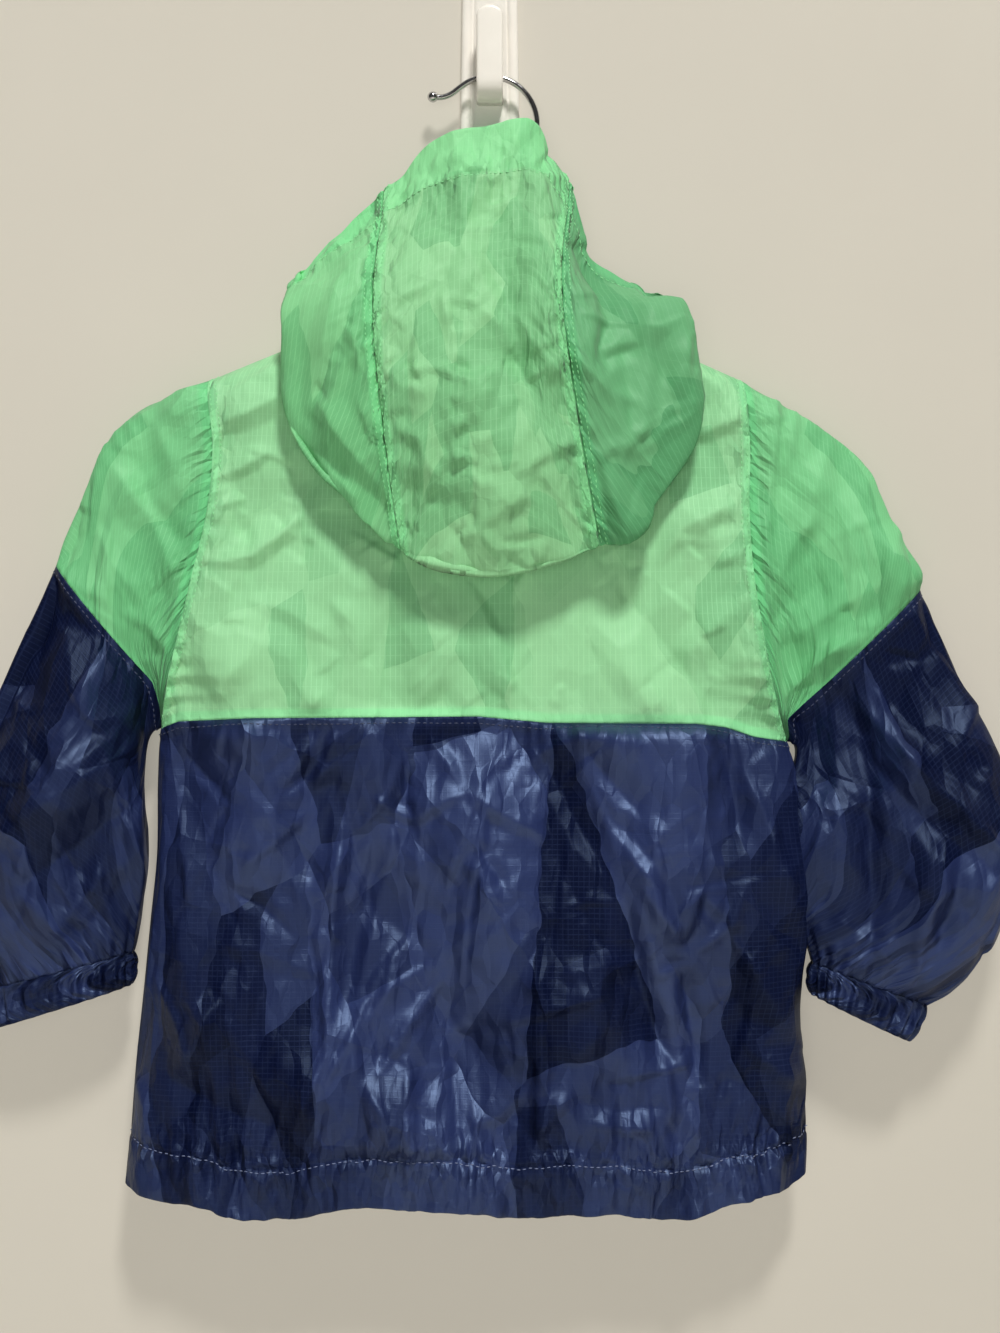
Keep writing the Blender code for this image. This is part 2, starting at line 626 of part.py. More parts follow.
def build_sleeve(side):
    angles = ring_angles(RING)
    seam = seam_stations(side, angles)
    place = np.minimum(np.arange(RING), RING - np.arange(RING))
    seam = np.where(place < SEAM_REACH[side], np.maximum(seam, SEAM_END[0]), 0.0)
    seam[place == SEAM_REACH[side]] = SEAM_END[1]
    end = len(SLEEVE_SECTIONS[side])

    rows = np.concatenate([[0, 0.02], np.linspace(0.07, 1, 12)])[:, None]
    stations = seam + (end - seam) * rows
    points = sleeve_surface(side, angles, stations)
    normals = ring_normals(points)
    hole_normals = armhole_ring(side, angles)[1]
    points = fold_sleeve(points, normals)
    step = hole_normals * (UNDERARM_STEP * smooth_step((-np.cos(angles) - 0.6) / 0.35))[:, None]
    points[0] += step
    cloth_piece(f"sleeve_{side}_lower", "navy", points, normals, CLOTH, closed=True)

    order = np.arange(-SEAM_REACH[side], SEAM_REACH[side] + 1)
    rows = np.linspace(0, 1, 7)[:, None]
    stations = seam[order] * rows
    points = sleeve_surface(side, angles[order], stations)
    normals = grid_normals(points, False)
    if np.sum(normals[0] * hole_normals[order]) < 0:
        normals = -normals
    normals[0] = hole_normals[order]
    points = fold_sleeve(points, normals)
    points[0] += step[order]
    cloth_piece(f"sleeve_{side}_upper", "green", points, normals, CLOTH)


def build_cuff(side):
    """A gathered band from the sleeve's last section to the wrist."""
    angles = ring_angles(CUFF_RING)
    start = section_ring(SLEEVE_SECTIONS[side][-1], angles)
    end = section_ring(CUFF_ENDS[side], angles)
    rows = np.array([0.01, 0.5, 1.0])[:, None, None]
    points = start + (end - start) * rows
    normals = ring_normals(points)
    waves = np.cos(CUFF_WAVES * np.linspace(0, 2 * math.pi, CUFF_RING, endpoint=False))
    depth = CUFF_WAVE * np.array([0.3, 1.0, 0.8])[:, None] * waves
    points = points + normals * depth[..., None]
    cloth_piece(f"cuff_{side}", "navy", points, normals, CUFF_CLOTH, closed=True)


# ---- hood ---------------------------------------------------------------------------------------
def rib_points(places):
    """The six points of each rib: face edge, belly and fold, then under, roll and neck."""
    rows = spline(column(HOOD_RIBS, 0), np.array(HOOD_RIBS)[:, 1:], places)
    rolled = smooth_step(rows[:, 0])[:, None]
    face, belly, fold = rows[:, 1:4], rows[:, 4:7], rows[:, 7:10]
    across = neck_across(places)
    rear = np.abs(places) <= 0.5
    neck_z = np.where(rear, neck_line("back", across), neck_line("front", across))
    depth = np.where(rear, body_depth("back", across, neck_z), body_depth("front", across, neck_z))
    corner = np.abs(np.sin(math.pi * places))
    neck = np.stack([across, depth, neck_z + HOOD_LIFT * corner ** 6], -1)
    under = (fold + neck) / 2
    behind = body_depth("back", under[:, 0], under[:, 2]) - HOOD_CLEAR
    under[:, 1] = np.where(np.abs(places) < HOOD_OVER_BACK, np.minimum(under[:, 1], behind), under[:, 1])
    sideways, back, up = HOOD_ROLL
    outward = sideways * corner * np.clip((HOOD_OVER_BACK - np.abs(places)) / 0.1, -0.6, 1)
    over = np.stack([np.sign(places) * outward, back * np.clip(np.cos(math.pi * places), -0.2, 1),
                     np.full_like(across, up)], -1)
    roll = neck + rolled * over + (1 - rolled) * (fold - neck) * np.array([0.05, 0.2, 0.25])
    return np.stack([face, belly, fold, under, roll, neck])


def neck_normals(places):
    """Outward directions of the panels along the neck seam."""
    across = neck_across(places)
    rear = np.abs(places) <= 0.5
    back = body_normal("back", across, neck_line("back", across))
    front = body_normal("front", across, neck_line("front", across))
    return np.where(rear[:, None], back, front)


def off_the_shoulders(points, weight):
    """Moves points that would sink into the shoulders back out of them, the shorter way."""
    across, depth, height = points[..., 0], points[..., 1], points[..., 2]
    crest = along(SHOULDER_LINE, across) + HOOD_CLEAR
    drop = SHOULDER_ROUND + HOOD_CLEAR
    middle = by_height(BODY_DEPTHS, 1, height)
    behind = depth < middle
    full = np.where(behind, by_height(BODY_DEPTHS, 2, height), by_height(BODY_DEPTHS, 3, height)) + HOOD_CLEAR
    share = np.clip(np.abs(depth - middle) / full, 0, 1)
    lift = np.maximum(crest - drop * (1 - np.sqrt(1 - share ** 2)) - height, 0)
    below = np.clip((crest - height) / drop, 0, 1)
    push = np.maximum(full * (np.sqrt(1 - (1 - below) ** 2) - share), 0)
    both = np.maximum(lift ** 2 + push ** 2, 1e-9)
    moved = points.copy()
    moved[..., 2] += lift * push ** 2 / both * weight
    moved[..., 1] += np.where(behind, -1, 1) * push * lift ** 2 / both * weight
    return moved


def hood_surface(places, shares):
    """Points of the hood: rows along the ribs, columns round the neck."""
    points = spline(RIB_STATIONS, rib_points(places), shares)
    return off_the_shoulders(points, smooth_step((0.985 - shares) / 0.05)[:, None])


def build_hood():
    shares = np.array((0.0, HOOD_CASING, HOOD_CASING + 0.015) + RIB_ROWS)
    wall = np.where(shares <= HOOD_CASING, CASING_CLOTH, CLOTH)[:, None]
    side = np.array(SIDE_PLACES)
    panels = {
        "hood_left": -side[::-1],
        "hood_centre": NECK_PLACES[np.abs(NECK_PLACES) <= HOOD_SEAM + 0.01],
        "hood_right": side,
    }
    for name, places in panels.items():
        points = hood_surface(places, shares)
        step = 0.004
        lower, upper = np.minimum(shares + step, 1), np.maximum(shares - step, 0)
        after, before = np.minimum(places + step, 1), np.maximum(places - step, -1)
        down = hood_surface(places, lower) - hood_surface(places, upper)
        round_neck = hood_surface(after, shares) - hood_surface(before, shares)
        normals = unit(np.cross(round_neck, down))
        at_neck = neck_normals(places)
        facing = np.sign(np.sum(normals[-1] * at_neck, axis=-1, keepdims=True))
        corner = np.abs(np.sin(math.pi * places))[:, None] ** 6
        normals[-1] = unit(normals[-1] * corner + facing * at_neck * (1 - corner))
        cloth_piece(name, "green", points, normals, wall)


# ---- zip ----------------------------------------------------------------------------------------
def build_zip():
    """Two tapes, the slider with its lugs and pin, and the pull tab on the pin."""
    for side, towards in (("left", -1), ("right", 1)):
        height = np.linspace(THROAT_HEIGHT + 0.2, ZIP_FOOT[1], 25)
        offsets = np.array([-ZIP_HALF, 0.0]) if towards < 0 else np.array([0.0, ZIP_HALF])
        height, off = np.meshgrid(height, offsets, indexing="ij")
        shares = zip_share(height, off)
        points, normals = panel_points("front", FRONT_FOLDS, shares, height)
        points, normals = points[:, ::-1], normals[:, ::-1]
        cloth_piece(f"zip_{side}", "zip", points, normals, TAPE_CLOTH)


def slider_place():
    """Middle of the slider on the zip, on the tapes' outer face."""
    height = THROAT_HEIGHT - SLIDER_DROP
    across = zip_across(height)
    depth = float(body_depth("front", np.array(across), np.array(height)))
    return Vector((across, depth + TAPE_CLOTH / 2 + WIRE_CLEAR, height))


def block(name, size, centre, bevel=0.0):
    """A box as an object, in the cutters' collection until it is used."""
    mesh = bpy.data.meshes.new(name)
    work = bmesh.new()
    bmesh.ops.create_cube(work, size=1.0)
    bmesh.ops.scale(work, vec=Vector(size) * MM, verts=work.verts)
    if bevel:
        bmesh.ops.bevel(work, geom=work.edges[:], offset=bevel * MM, segments=2, affect="EDGES",
                        profile=0.5, clamp_overlap=True)
    bmesh.ops.translate(work, vec=Vector(centre) * MM, verts=work.verts)
    work.to_mesh(mesh)
    work.free()
    return helper(name, mesh)


def rod(name, radius, start, end, sides=16):
    """A round rod between two points."""
    start, end = Vector(start) * MM, Vector(end) * MM
    mesh = bpy.data.meshes.new(name)
    work = bmesh.new()
    turn = (end - start).to_track_quat("Z", "Y").to_matrix().to_4x4()
    bmesh.ops.create_cone(work, cap_ends=True, segments=sides, radius1=radius * MM, radius2=radius * MM,
                          depth=(end - start).length, matrix=Matrix.Translation((start + end) / 2) @ turn)
    work.to_mesh(mesh)
    work.free()
    return helper(name, mesh)


def helper(name, mesh):
    tool = bpy.data.objects.new(name, mesh)
    tool.hide_render = True
    tool.display_type = "WIRE"
    cutters.objects.link(tool)
    return tool


def joined(name, colour, base, added=(), cut=()):
    """One closed body: the base with the added shapes, less the cut ones."""
    for tool, operation in [(shape, "UNION") for shape in added] + [(shape, "DIFFERENCE") for shape in cut]:
        modifier = base.modifiers.new(operation.title(), "BOOLEAN")
        modifier.operation = operation
        modifier.solver = "EXACT"
        modifier.object = tool
    bpy.context.view_layer.update()
    graph = bpy.context.evaluated_depsgraph_get()
    mesh = bpy.data.meshes.new_from_object(base.evaluated_get(graph))
    mesh.name = name
    bpy.data.objects.remove(base)
    for tool in list(added) + list(cut):
        bpy.data.objects.remove(tool)
    mesh.shade_smooth()
    mesh.set_sharp_from_angle(angle=math.radians(35))
    return add_object(name, mesh, colour)


def build_slider():
    seat = slider_place()
    plate_face = seat.y + SLIDER[1]
    pin = Vector((seat.x, plate_face + BARREL_RADIUS + WIRE_CLEAR, seat.z + SLIDER[2] / 2 - 3.0))
    lug_off = BARREL_LENGTH / 2 + WIRE_CLEAR + LUG[0] / 2
    plate = block("plate", SLIDER, (seat.x, seat.y + SLIDER[1] / 2, seat.z), 0.4)
    lugs = [
        block(f"lug_{turn}", LUG, (seat.x + turn * lug_off, plate_face - 0.4 + LUG[1] / 2, pin.z))
        for turn in (-1, 1)
    ]
    reach = lug_off + LUG[0] / 4
    bar = rod("bar", PIN_RADIUS, pin - Vector((reach, 0, 0)), pin + Vector((reach, 0, 0)))
    joined("zip_slider", "chrome", plate, lugs + [bar])

    half = Vector((BARREL_LENGTH / 2, 0, 0))
    barrel = rod("barrel", BARREL_RADIUS, pin - half, pin + half, 20)
    tab_top = pin.z - LUG[2] / 2 - 0.6
    neck = block("neck", (BARREL_LENGTH - 0.4, TAB[1] * 0.9, 2.4), (pin.x, pin.y, tab_top + 0.2))
    tab = block("tab", TAB, (pin.x, pin.y, tab_top - TAB[2] / 2), 0.35)
    bore = rod("bore", BARREL_BORE, pin - half * 1.5, pin + half * 1.5)
    notch = block("notch", (2.6, 6.0, 9.0), (pin.x, pin.y, tab_top - TAB[2] + 7.0))
    pull = joined("zip_pull", "chrome", barrel, [neck, tab], [bore, notch])
    pull.data.transform(Matrix.Translation(-pin * MM))
    pull.location = pin * MM


# ---- hanger and wall hook -----------------------------------------------------------------------
def tube(name, radius, route, resolution=2):
    """A tube along a route in millimetres, as a closed mesh in the cutters' collection."""
    curve = bpy.data.curves.new(name, "CURVE")
    curve.dimensions = "3D"
    curve.bevel_depth = radius * MM
    curve.bevel_resolution = resolution
    curve.use_fill_caps = True
    line = curve.splines.new("POLY")
    line.points.add(len(route) - 1)
    for point, place in zip(line.points, route):
        point.co = (*(Vector(place) * MM), 1.0)
    guide = bpy.data.objects.new(name, curve)
    cutters.objects.link(guide)
    bpy.context.view_layer.update()
    graph = bpy.context.evaluated_depsgraph_get()
    mesh = bpy.data.meshes.new_from_object(guide.evaluated_get(graph))
    bpy.data.objects.remove(guide)
    work = bmesh.new()
    work.from_mesh(mesh)
    bmesh.ops.remove_doubles(work, verts=work.verts, dist=1e-6)
    bmesh.ops.recalc_face_normals(work, faces=work.faces)
    work.to_mesh(mesh)
    work.free()
    return helper(name, mesh)


def build_hanger():
    """A plain tube under the shoulders, with a boss that takes the hook."""
    drop = CLOTH / 2 + HANGER_CLEAR + HANGER_RADIUS
    across = np.array([HANGER_SPAN[0], -178.5, -152.5, -112.0, -80.0, -58.0, -34.0, -12.0,
                       12.0, 34.0, 58.0, 80.0, 115.0, 137.5, 168.0, HANGER_SPAN[1]])
    line = along(SHOULDER_LINE, across)
    slope = np.gradient(line, across)
    line = line - drop * np.sqrt(1 + slope ** 2)
    line += np.interp(np.abs(across), (0, 20, 50, 62, 90), (6.0, 4.0, -1.5, -1.5, 0.0))
    route = [(x, HANGER_DEPTH, z) for x, z in zip(across, line)]
    arms = tube("arms", HANGER_RADIUS, route, 3)
    low, high = ((0, HANGER_DEPTH, height) for height in BOSS_HEIGHTS)
    boss = rod("boss", BOSS_RADIUS, low, high, 20)
    well = rod("well", WIRE_RADIUS + WIRE_CLEAR, (0, HANGER_DEPTH, BOSS_HEIGHTS[1] - 12.0),
               (0, HANGER_DEPTH, BOSS_HEIGHTS[1] + 5.0))
    joined("hanger_body", "white", boss, [arms], [well])


def hook_route():
    """The stem out of the boss, round the bend and back to the ball."""
    foot = BOSS_HEIGHTS[1] - 11.5
    stem = [(0, HANGER_DEPTH, foot), (0, HANGER_DEPTH, -96.0), (0, HANGER_DEPTH, -90.0),
            (0.2, -18.4, -82.0), (1.4, -15.8, -74.0), (5.0, -13.6, -66.5)]
    first, last = (math.radians(angle) for angle in HOOK_ARC)
    x, z = HOOK_CENTRE
    arc = [
        (x + HOOK_RADIUS * math.cos(angle), HOOK_DEPTH, z + HOOK_RADIUS * math.sin(angle))
        for angle in np.linspace(first, last, 19)
    ]
    tip = [(x, HOOK_DEPTH, z) for x, z in HOOK_TIP]
    return stem + arc + tip


def build_hook():
    route = hook_route()
    wire = tube("wire", WIRE_RADIUS, route, 2)
    mesh = bpy.data.meshes.new("ball")
    work = bmesh.new()
    bmesh.ops.create_uvsphere(work, u_segments=14, v_segments=9, radius=BALL_RADIUS * MM)
    bmesh.ops.translate(work, vec=Vector(route[-1]) * MM, verts=work.verts)
    work.to_mesh(mesh)
    work.free()
    joined("hanger_hook", "chrome", wire, [helper("ball", mesh)])


def build_wall_hook():
    """The stuck-on plate with its J-shaped prong."""
    plate = block("back_plate", PLATE, (0, -PLATE[1] / 2, 0), 1.2)
    face, tip_face, floor = TROUGH
    outline = [(face + 1.0, PRONG_FOOT)]
    corner = (tip_face + 5.0, PRONG_FOOT + 5.0 + PRONG_CLOTH)
    reach = 5.0 + PRONG_CLOTH
    outline += [
        (corner[0] + reach * math.cos(angle), corner[1] + reach * math.sin(angle))
        for angle in np.radians(np.linspace(270, 180, 7))
    ]
    middle = (tip_face - PRONG_CLOTH / 2, PRONG_TIP - PRONG_CLOTH / 2)
    outline += [
        (middle[0] + PRONG_CLOTH / 2 * math.cos(angle), middle[1] + PRONG_CLOTH / 2 * math.sin(angle))
        for angle in np.radians(np.linspace(180, 0, 7))
    ]
    round_inside = 4.0
    inside = (tip_face + round_inside, floor + round_inside)
    outline += [
        (inside[0] + round_inside * math.cos(angle), inside[1] + round_inside * math.sin(angle))
        for angle in np.radians(np.linspace(180, 270, 5))
    ]
    outline += [(face + 1.0, floor)]
    mesh = bpy.data.meshes.new("prong")
    work = bmesh.new()
    ring = [work.verts.new((-PRONG_WIDTH / 2 * MM, y * MM, z * MM)) for y, z in outline]
    base = work.faces.new(ring)
    pushed = bmesh.ops.extrude_face_region(work, geom=[base])["geom"]
    moved = [item for item in pushed if isinstance(item, bmesh.types.BMVert)]
    bmesh.ops.translate(work, vec=(PRONG_WIDTH * MM, 0, 0), verts=moved)
    bmesh.ops.recalc_face_normals(work, faces=work.faces)
    work.to_mesh(mesh)
    work.free()
    joined("wall_hook", "white", plate, [helper("prong", mesh)])


def main():
    for old in list(bpy.data.objects):
        bpy.data.objects.remove(old)
    build_upper("back_yoke", "back", BACK_FOLDS, yoke_shares())
    build_lower("back_lower", "back", BACK_FOLDS, yoke_shares())
    for side in ("left", "right"):
        build_front(side)
        build_sleeve(side)
        build_cuff(side)
    build_hood()
    build_zip()
    build_slider()
    build_hanger()
    build_hook()
    build_wall_hook()


jacket = bpy.data.collections.new("windbreaker_jacket")
cutters = bpy.data.collections.new("cutters")
bpy.context.scene.collection.children.link(jacket)
bpy.context.scene.collection.children.link(cutters)
main()
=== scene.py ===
import math

import bmesh
import bpy
import numpy as np
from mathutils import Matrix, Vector


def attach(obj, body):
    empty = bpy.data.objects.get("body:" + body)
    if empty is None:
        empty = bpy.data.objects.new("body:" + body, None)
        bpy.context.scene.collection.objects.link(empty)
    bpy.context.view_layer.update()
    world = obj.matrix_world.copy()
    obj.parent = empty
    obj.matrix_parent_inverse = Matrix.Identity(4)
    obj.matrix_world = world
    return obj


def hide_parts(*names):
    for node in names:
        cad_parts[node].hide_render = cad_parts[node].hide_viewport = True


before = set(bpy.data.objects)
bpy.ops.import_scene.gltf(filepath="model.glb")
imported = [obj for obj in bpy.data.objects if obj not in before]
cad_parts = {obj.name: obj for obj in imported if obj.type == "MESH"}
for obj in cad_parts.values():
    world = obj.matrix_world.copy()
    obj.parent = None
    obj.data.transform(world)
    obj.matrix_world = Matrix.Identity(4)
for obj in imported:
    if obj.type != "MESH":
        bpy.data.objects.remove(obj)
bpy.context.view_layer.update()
print("frame loaded:", len(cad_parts), "nodes")

mm = 0.001

# All tables are in millimetres: across to the right, depth away from the room, height up.
body = {
    "shoulderLine": (
        (-230, -236), (-207, -212), (-178.5, -193), (-152.5, -180.5), (-112, -164), (-62, -145), (0, -122),
        (62, -149), (115, -171), (137.5, -181), (168, -200), (202, -225.5), (225, -250),
    ),
    # height, left edge, right edge: armholes above the underarm, side seams below it
    "panelEdges": (
        (-130, -152.5, 137.5), (-182, -152.5, 137.5), (-220, -148.5, 139.7), (-250, -151, 139.2),
        (-290, -160, 142), (-320, -167, 146.8), (-350, -174.5, 153), (-370, -178.7, 159),
        (-378, -179.8, 162), (-395, -180.6, 165.4), (-440, -181.2, 166.8), (-474, -184.5, 167.4),
        (-516, -188.5, 168), (-548, -191.8, 170), (-598, -195.6, 171.7), (-613, -197, 171),
        (-630, -197.5, 170),
    ),
    "underarm": {"left": -370, "right": -377},
    # height, depth of the side seams, fullness of the back, fullness of the front
    "depths": (
        (-120, -20, 17, 10), (-200, -20.5, 18, 11), (-290, -21, 20, 11.5), (-370, -22, 22, 12),
        (-450, -23, 25, 13), (-540, -24.5, 27, 14), (-635, -26, 27, 14),
    ),
    "shoulderRound": 22,    # drop over which the shoulders reach their full depth
    "armholeRound": 95,     # height over which an armhole closes
    "sidePower": 6,         # the higher, the flatter the panels
    "yokeSeam": (
        (-178.7, -370), (-168, -366), (-128, -364), (-5, -363), (33, -366.5), (113, -367), (129, -369),
        (143, -374), (161.6, -377),
    ),
    "hemLine": (
        (-197.5, -613), (-188, -619), (-156, -623), (-131, -630.5), (-92, -626), (-76, -622), (-16, -624),
        (21, -629), (43, -625.5), (82, -628), (106, -629), (130, -622), (149, -618.5), (162, -616),
        (171, -611),
    ),
    "neckHalf": 62,
    "nape": (-165, 2.2),    # lowest height of the neck line, and how round it is
    "throat": (-190, 2.0),
}

sleeves = {
    # a row for each section: outer across and height, inner across and height, middle depth, half depth
    "sections": {
        "left": (
            (-178.5, -193, -183, -371.6, -21, 15.5), (-207, -212, -185.6, -376.2, -22, 17),
            (-222, -247, -186.8, -382.4, -24, 18), (-234.5, -281.5, -187.2, -390, -26, 18.5),
            (-251.5, -319, -187.4, -399, -28, 19), (-269.5, -361, -186.8, -411, -30, 20),
            (-284, -403, -185.8, -427, -31, 21), (-289.5, -441, -185.2, -447, -31, 21),
            (-286, -477, -188.4, -470, -30, 19), (-271.8, -510.5, -193, -490.5, -28, 13),
        ),
        "right": (
            (168, -200, 166.8, -379, -21, 15.5), (202, -225.5, 169.4, -384, -22, 17),
            (219.5, -262.5, 170.6, -390.6, -24, 18), (233, -294.5, 171, -399, -26, 18.5),
            (246.5, -327.5, 171.4, -409, -28, 19), (260, -362.5, 171.6, -421, -30, 20),
            (276.5, -403, 171.4, -437, -31, 21), (283, -438.5, 171.2, -457, -31, 21),
            (277, -475, 172.4, -477, -30, 19), (236.5, -519, 174.6, -496, -28, 13),
        ),
    },
    "cuffEnds": {
        "left": (-269, -531.5, -193.8, -508, -28, 12),
        "right": (227.5, -538.5, 173.8, -513, -28, 12),
    },
    "colourSeams": {
        "left": (-234.5, -281.5, -177.6, -350),
        "right": (233, -294.5, 156, -369.5),
    },
    "seamReach": {"left": 10, "right": 11},     # of 24 ring places, from the crest to the end of the green
    "roundness": 0.72,
}

hood = {
    # place round the neck, 1 where it hangs over the back, then face edge, belly and fold
    "ribs": (
        (-1.00, 0, -4.6, -6.5, -160, -4.6, -7, -168, -4.6, -8, -177),
        (-0.75, 0, -70, -8, -124, -60, -8, -135, -47.5, -8.5, -145.5),
        (-0.64, 1, -93, -12, -123, -92, -20, -132, -80, -23, -137),
        (-0.54, 1, -109, -23, -129, -111, -47, -158, -106, -48, -196),
        (-0.40, 1, -84, -25, -103.5, -86, -64, -171, -74, -57, -252),
        (-0.25, 1, -57.5, -28, -79, -59, -73, -178, -46, -61, -275),
        (-0.12, 1, -32, -30, -53.5, -30.5, -77, -191, -26, -63, -284),
        (0.00, 1, -1, -31, -44.5, -2.5, -78, -199, -2, -63, -287),
        (0.12, 1, 27, -30, -44, 21, -77, -191, 26.5, -63, -284),
        (0.25, 1, 43, -28, -74, 40.5, -72, -170, 58, -60, -273),
        (0.40, 1, 61.5, -25, -119.5, 66, -64, -171, 84.5, -56, -255),
        (0.54, 1, 95, -23, -134, 107, -47, -160, 110, -48, -195),
        (0.64, 1, 88, -12, -128, 90, -20, -137, 80, -23, -141),
        (0.75, 0, 68, -8, -128, 60, -8, -139, 49.5, -8.5, -150),
        (1.00, 0, 4.6, -6.5, -160, 4.6, -7, -168, 4.6, -8, -177),
    ),
    "stations": (0, 0.40, 0.62, 0.80, 0.955, 1),
    "casing": 0.075,        # share of a rib that the turned face edge takes
    "seamPlace": 0.25,
    "clear": 4.7,
    "overBack": 0.6,
    "lift": 1.5,
    "roll": (3.5, -6, 5.5),
}

zipper = {
    "top": (0, -190),
    "foot": (-11, -622),
    "half": 4.4,
    "pitch": 1.5,
    "tooth": (1.9, 0.95, 1.5),
}


def spline(knots, values, at):
    knots, values, at = (np.asarray(item, float) for item in (knots, values, at))
    steps = np.diff(knots).reshape((-1,) + (1,) * (values.ndim - 1))
    slopes = np.diff(values, axis=0) / steps
    inner = (slopes[:-1] * steps[1:] + slopes[1:] * steps[:-1]) / (steps[:-1] + steps[1:])
    slopes = np.concatenate([slopes[:1], inner, slopes[-1:]])
    place = np.clip(np.searchsorted(knots, at, side="right") - 1, 0, len(knots) - 2)
    width = knots[place + 1] - knots[place]
    t = (at - knots[place]) / width
    shape = t.shape + (1,) * (values.ndim - 1)
    t, width = t.reshape(shape), width.reshape(shape)
    return (
        values[place] * (1 + 2 * t) * (1 - t) ** 2
        + values[place + 1] * t ** 2 * (3 - 2 * t)
        + slopes[place] * width * t * (1 - t) ** 2
        - slopes[place + 1] * width * t ** 2 * (1 - t)
    )


def column(table, index):
    return np.array([row[index] for row in table], float)


def byHeight(table, index, height):
    return spline(column(table, 0)[::-1], column(table, index)[::-1], height)


def along(line, across):
    return np.interp(across, column(line, 0), column(line, 1))


def smoothStep(value):
    value = np.clip(value, 0, 1)
    return value * value * (3 - 2 * value)


def unit(vectors):
    return vectors / np.maximum(np.linalg.norm(vectors, axis=-1, keepdims=True), 1e-9)


def distances(points, axis):
    # how far each point lies along its column (0) or its row (1)
    runs = np.cumsum(np.linalg.norm(np.diff(points, axis=axis), axis=2), axis)
    return np.concatenate([np.zeros_like(np.take(runs, [0], axis)), runs], axis)


def edgeAcross(side, height):
    return byHeight(body["panelEdges"], 1 if side == "left" else 2, height)


def armholeClosing(side, height):
    rise = np.clip((height - body["underarm"][side]) / body["armholeRound"], 0, 1)
    return 1 - rise ** 1.6


def bodyDepth(face, across, height):
    left, right = edgeAcross("left", height), edgeAcross("right", height)
    middle = (left + right) / 2
    shareLeft = (middle - across) / (middle - left) * armholeClosing("left", height)
    shareRight = (across - middle) / (right - middle) * armholeClosing("right", height)
    share = np.clip(np.where(across < middle, shareLeft, shareRight), 0, 1)
    sideRound = np.sqrt(1 - share ** body["sidePower"])
    below = np.clip((along(body["shoulderLine"], across) - height) / body["shoulderRound"], 0, 1)
    topRound = np.sqrt(1 - (1 - below) ** 2)
    full = byHeight(body["depths"], 2 if face == "back" else 3, height)
    towards = -1 if face == "back" else 1
    return byHeight(body["depths"], 1, height) + towards * full * sideRound * topRound


def bodyNormal(face, across, height):
    step = 0.25
    middle = (edgeAcross("left", height) + edgeAcross("right", height)) / 2
    inward = np.where(across < middle, step, -step)
    here = bodyDepth(face, across, height)
    slopeX = (bodyDepth(face, across + inward, height) - here) / inward
    slopeZ = (here - bodyDepth(face, across, height - step)) / step
    towards = -1 if face == "back" else 1
    return unit(np.stack([-slopeX * towards, np.full_like(here, towards), -slopeZ * towards], -1))


def neckLine(face, across):
    low, power = body["nape"] if face == "back" else body["throat"]
    half = body["neckHalf"]
    share = np.clip(np.abs(across) / half, 0, 1)
    ends = along(body["shoulderLine"], np.where(across < 0, -half, half))
    return low + (ends - low) * share ** power


def topLine(face, across):
    inside = np.abs(across) < body["neckHalf"]
    return np.where(inside, neckLine(face, across), along(body["shoulderLine"], across))


def zipAcross(height):
    drop = (height - zipper["top"][1]) / (zipper["foot"][1] - zipper["top"][1])
    return zipper["top"][0] + drop * (zipper["foot"][0] - zipper["top"][0])


def neckAcross(places):
    swing = np.sin(math.pi * np.abs(places))
    half = body["neckHalf"]
    front = zipper["half"] + (half - zipper["half"]) * swing
    return np.sign(places) * np.where(np.abs(places) <= 0.5, half * swing, front)


def armholeRing(side, angles):
    top = along(body["shoulderLine"], edgeAcross(side, body["panelEdges"][1][0]))
    height = top + (body["underarm"][side] - top) * (1 - np.cos(angles)) / 2
    across = edgeAcross(side, height)
    back = np.sin(angles) >= -1e-9
    depth = np.where(back, bodyDepth("back", across, height), bodyDepth("front", across, height))
    normal = np.where(back[:, None], bodyNormal("back", across, height), bodyNormal("front", across, height))
    return np.stack([across, depth, height], -1), normal


def sectionRing(row, angles):
    outerX, outerZ, innerX, innerZ, middle, half = row
    share = (1 - np.cos(angles)) / 2
    bulge = np.sign(np.sin(angles)) * np.abs(np.sin(angles)) ** sleeves["roundness"]
    return np.stack([
        outerX + (innerX - outerX) * share, middle - half * bulge, outerZ + (innerZ - outerZ) * share,
    ], -1)


def sleeveSurface(side, angles, stations):
    rings = [armholeRing(side, angles)[0]]
    rings += [sectionRing(row, angles) for row in sleeves["sections"][side]]
    rings = np.array(rings)
    knots = np.arange(len(rings))
    return np.stack([spline(knots, rings[:, j], stations[:, j]) for j in range(len(angles))], 1)


def seamStations(side, angles):
    x0, z0, x1, z1 = sleeves["colourSeams"][side]
    tries = np.linspace(0, 6, 241)
    surface = sleeveSurface(side, angles, np.repeat(tries[:, None], len(angles), 1))
    sideOf = (surface[..., 0] - x0) * (z1 - z0) - (surface[..., 2] - z0) * (x1 - x0)
    sideOf = sideOf * np.sign(sideOf[0, 0])
    found = []
    for j in range(len(angles)):
        crossed = np.nonzero(sideOf[:, j] < 0)[0]
        if not len(crossed):
            found.append(6.0)
            continue
        k = max(crossed[0], 1)
        before, after = sideOf[k - 1, j], sideOf[k, j]
        found.append(tries[k - 1] + (tries[k] - tries[k - 1]) * np.clip(before / (before - after), 0, 1))
    return np.array(found)


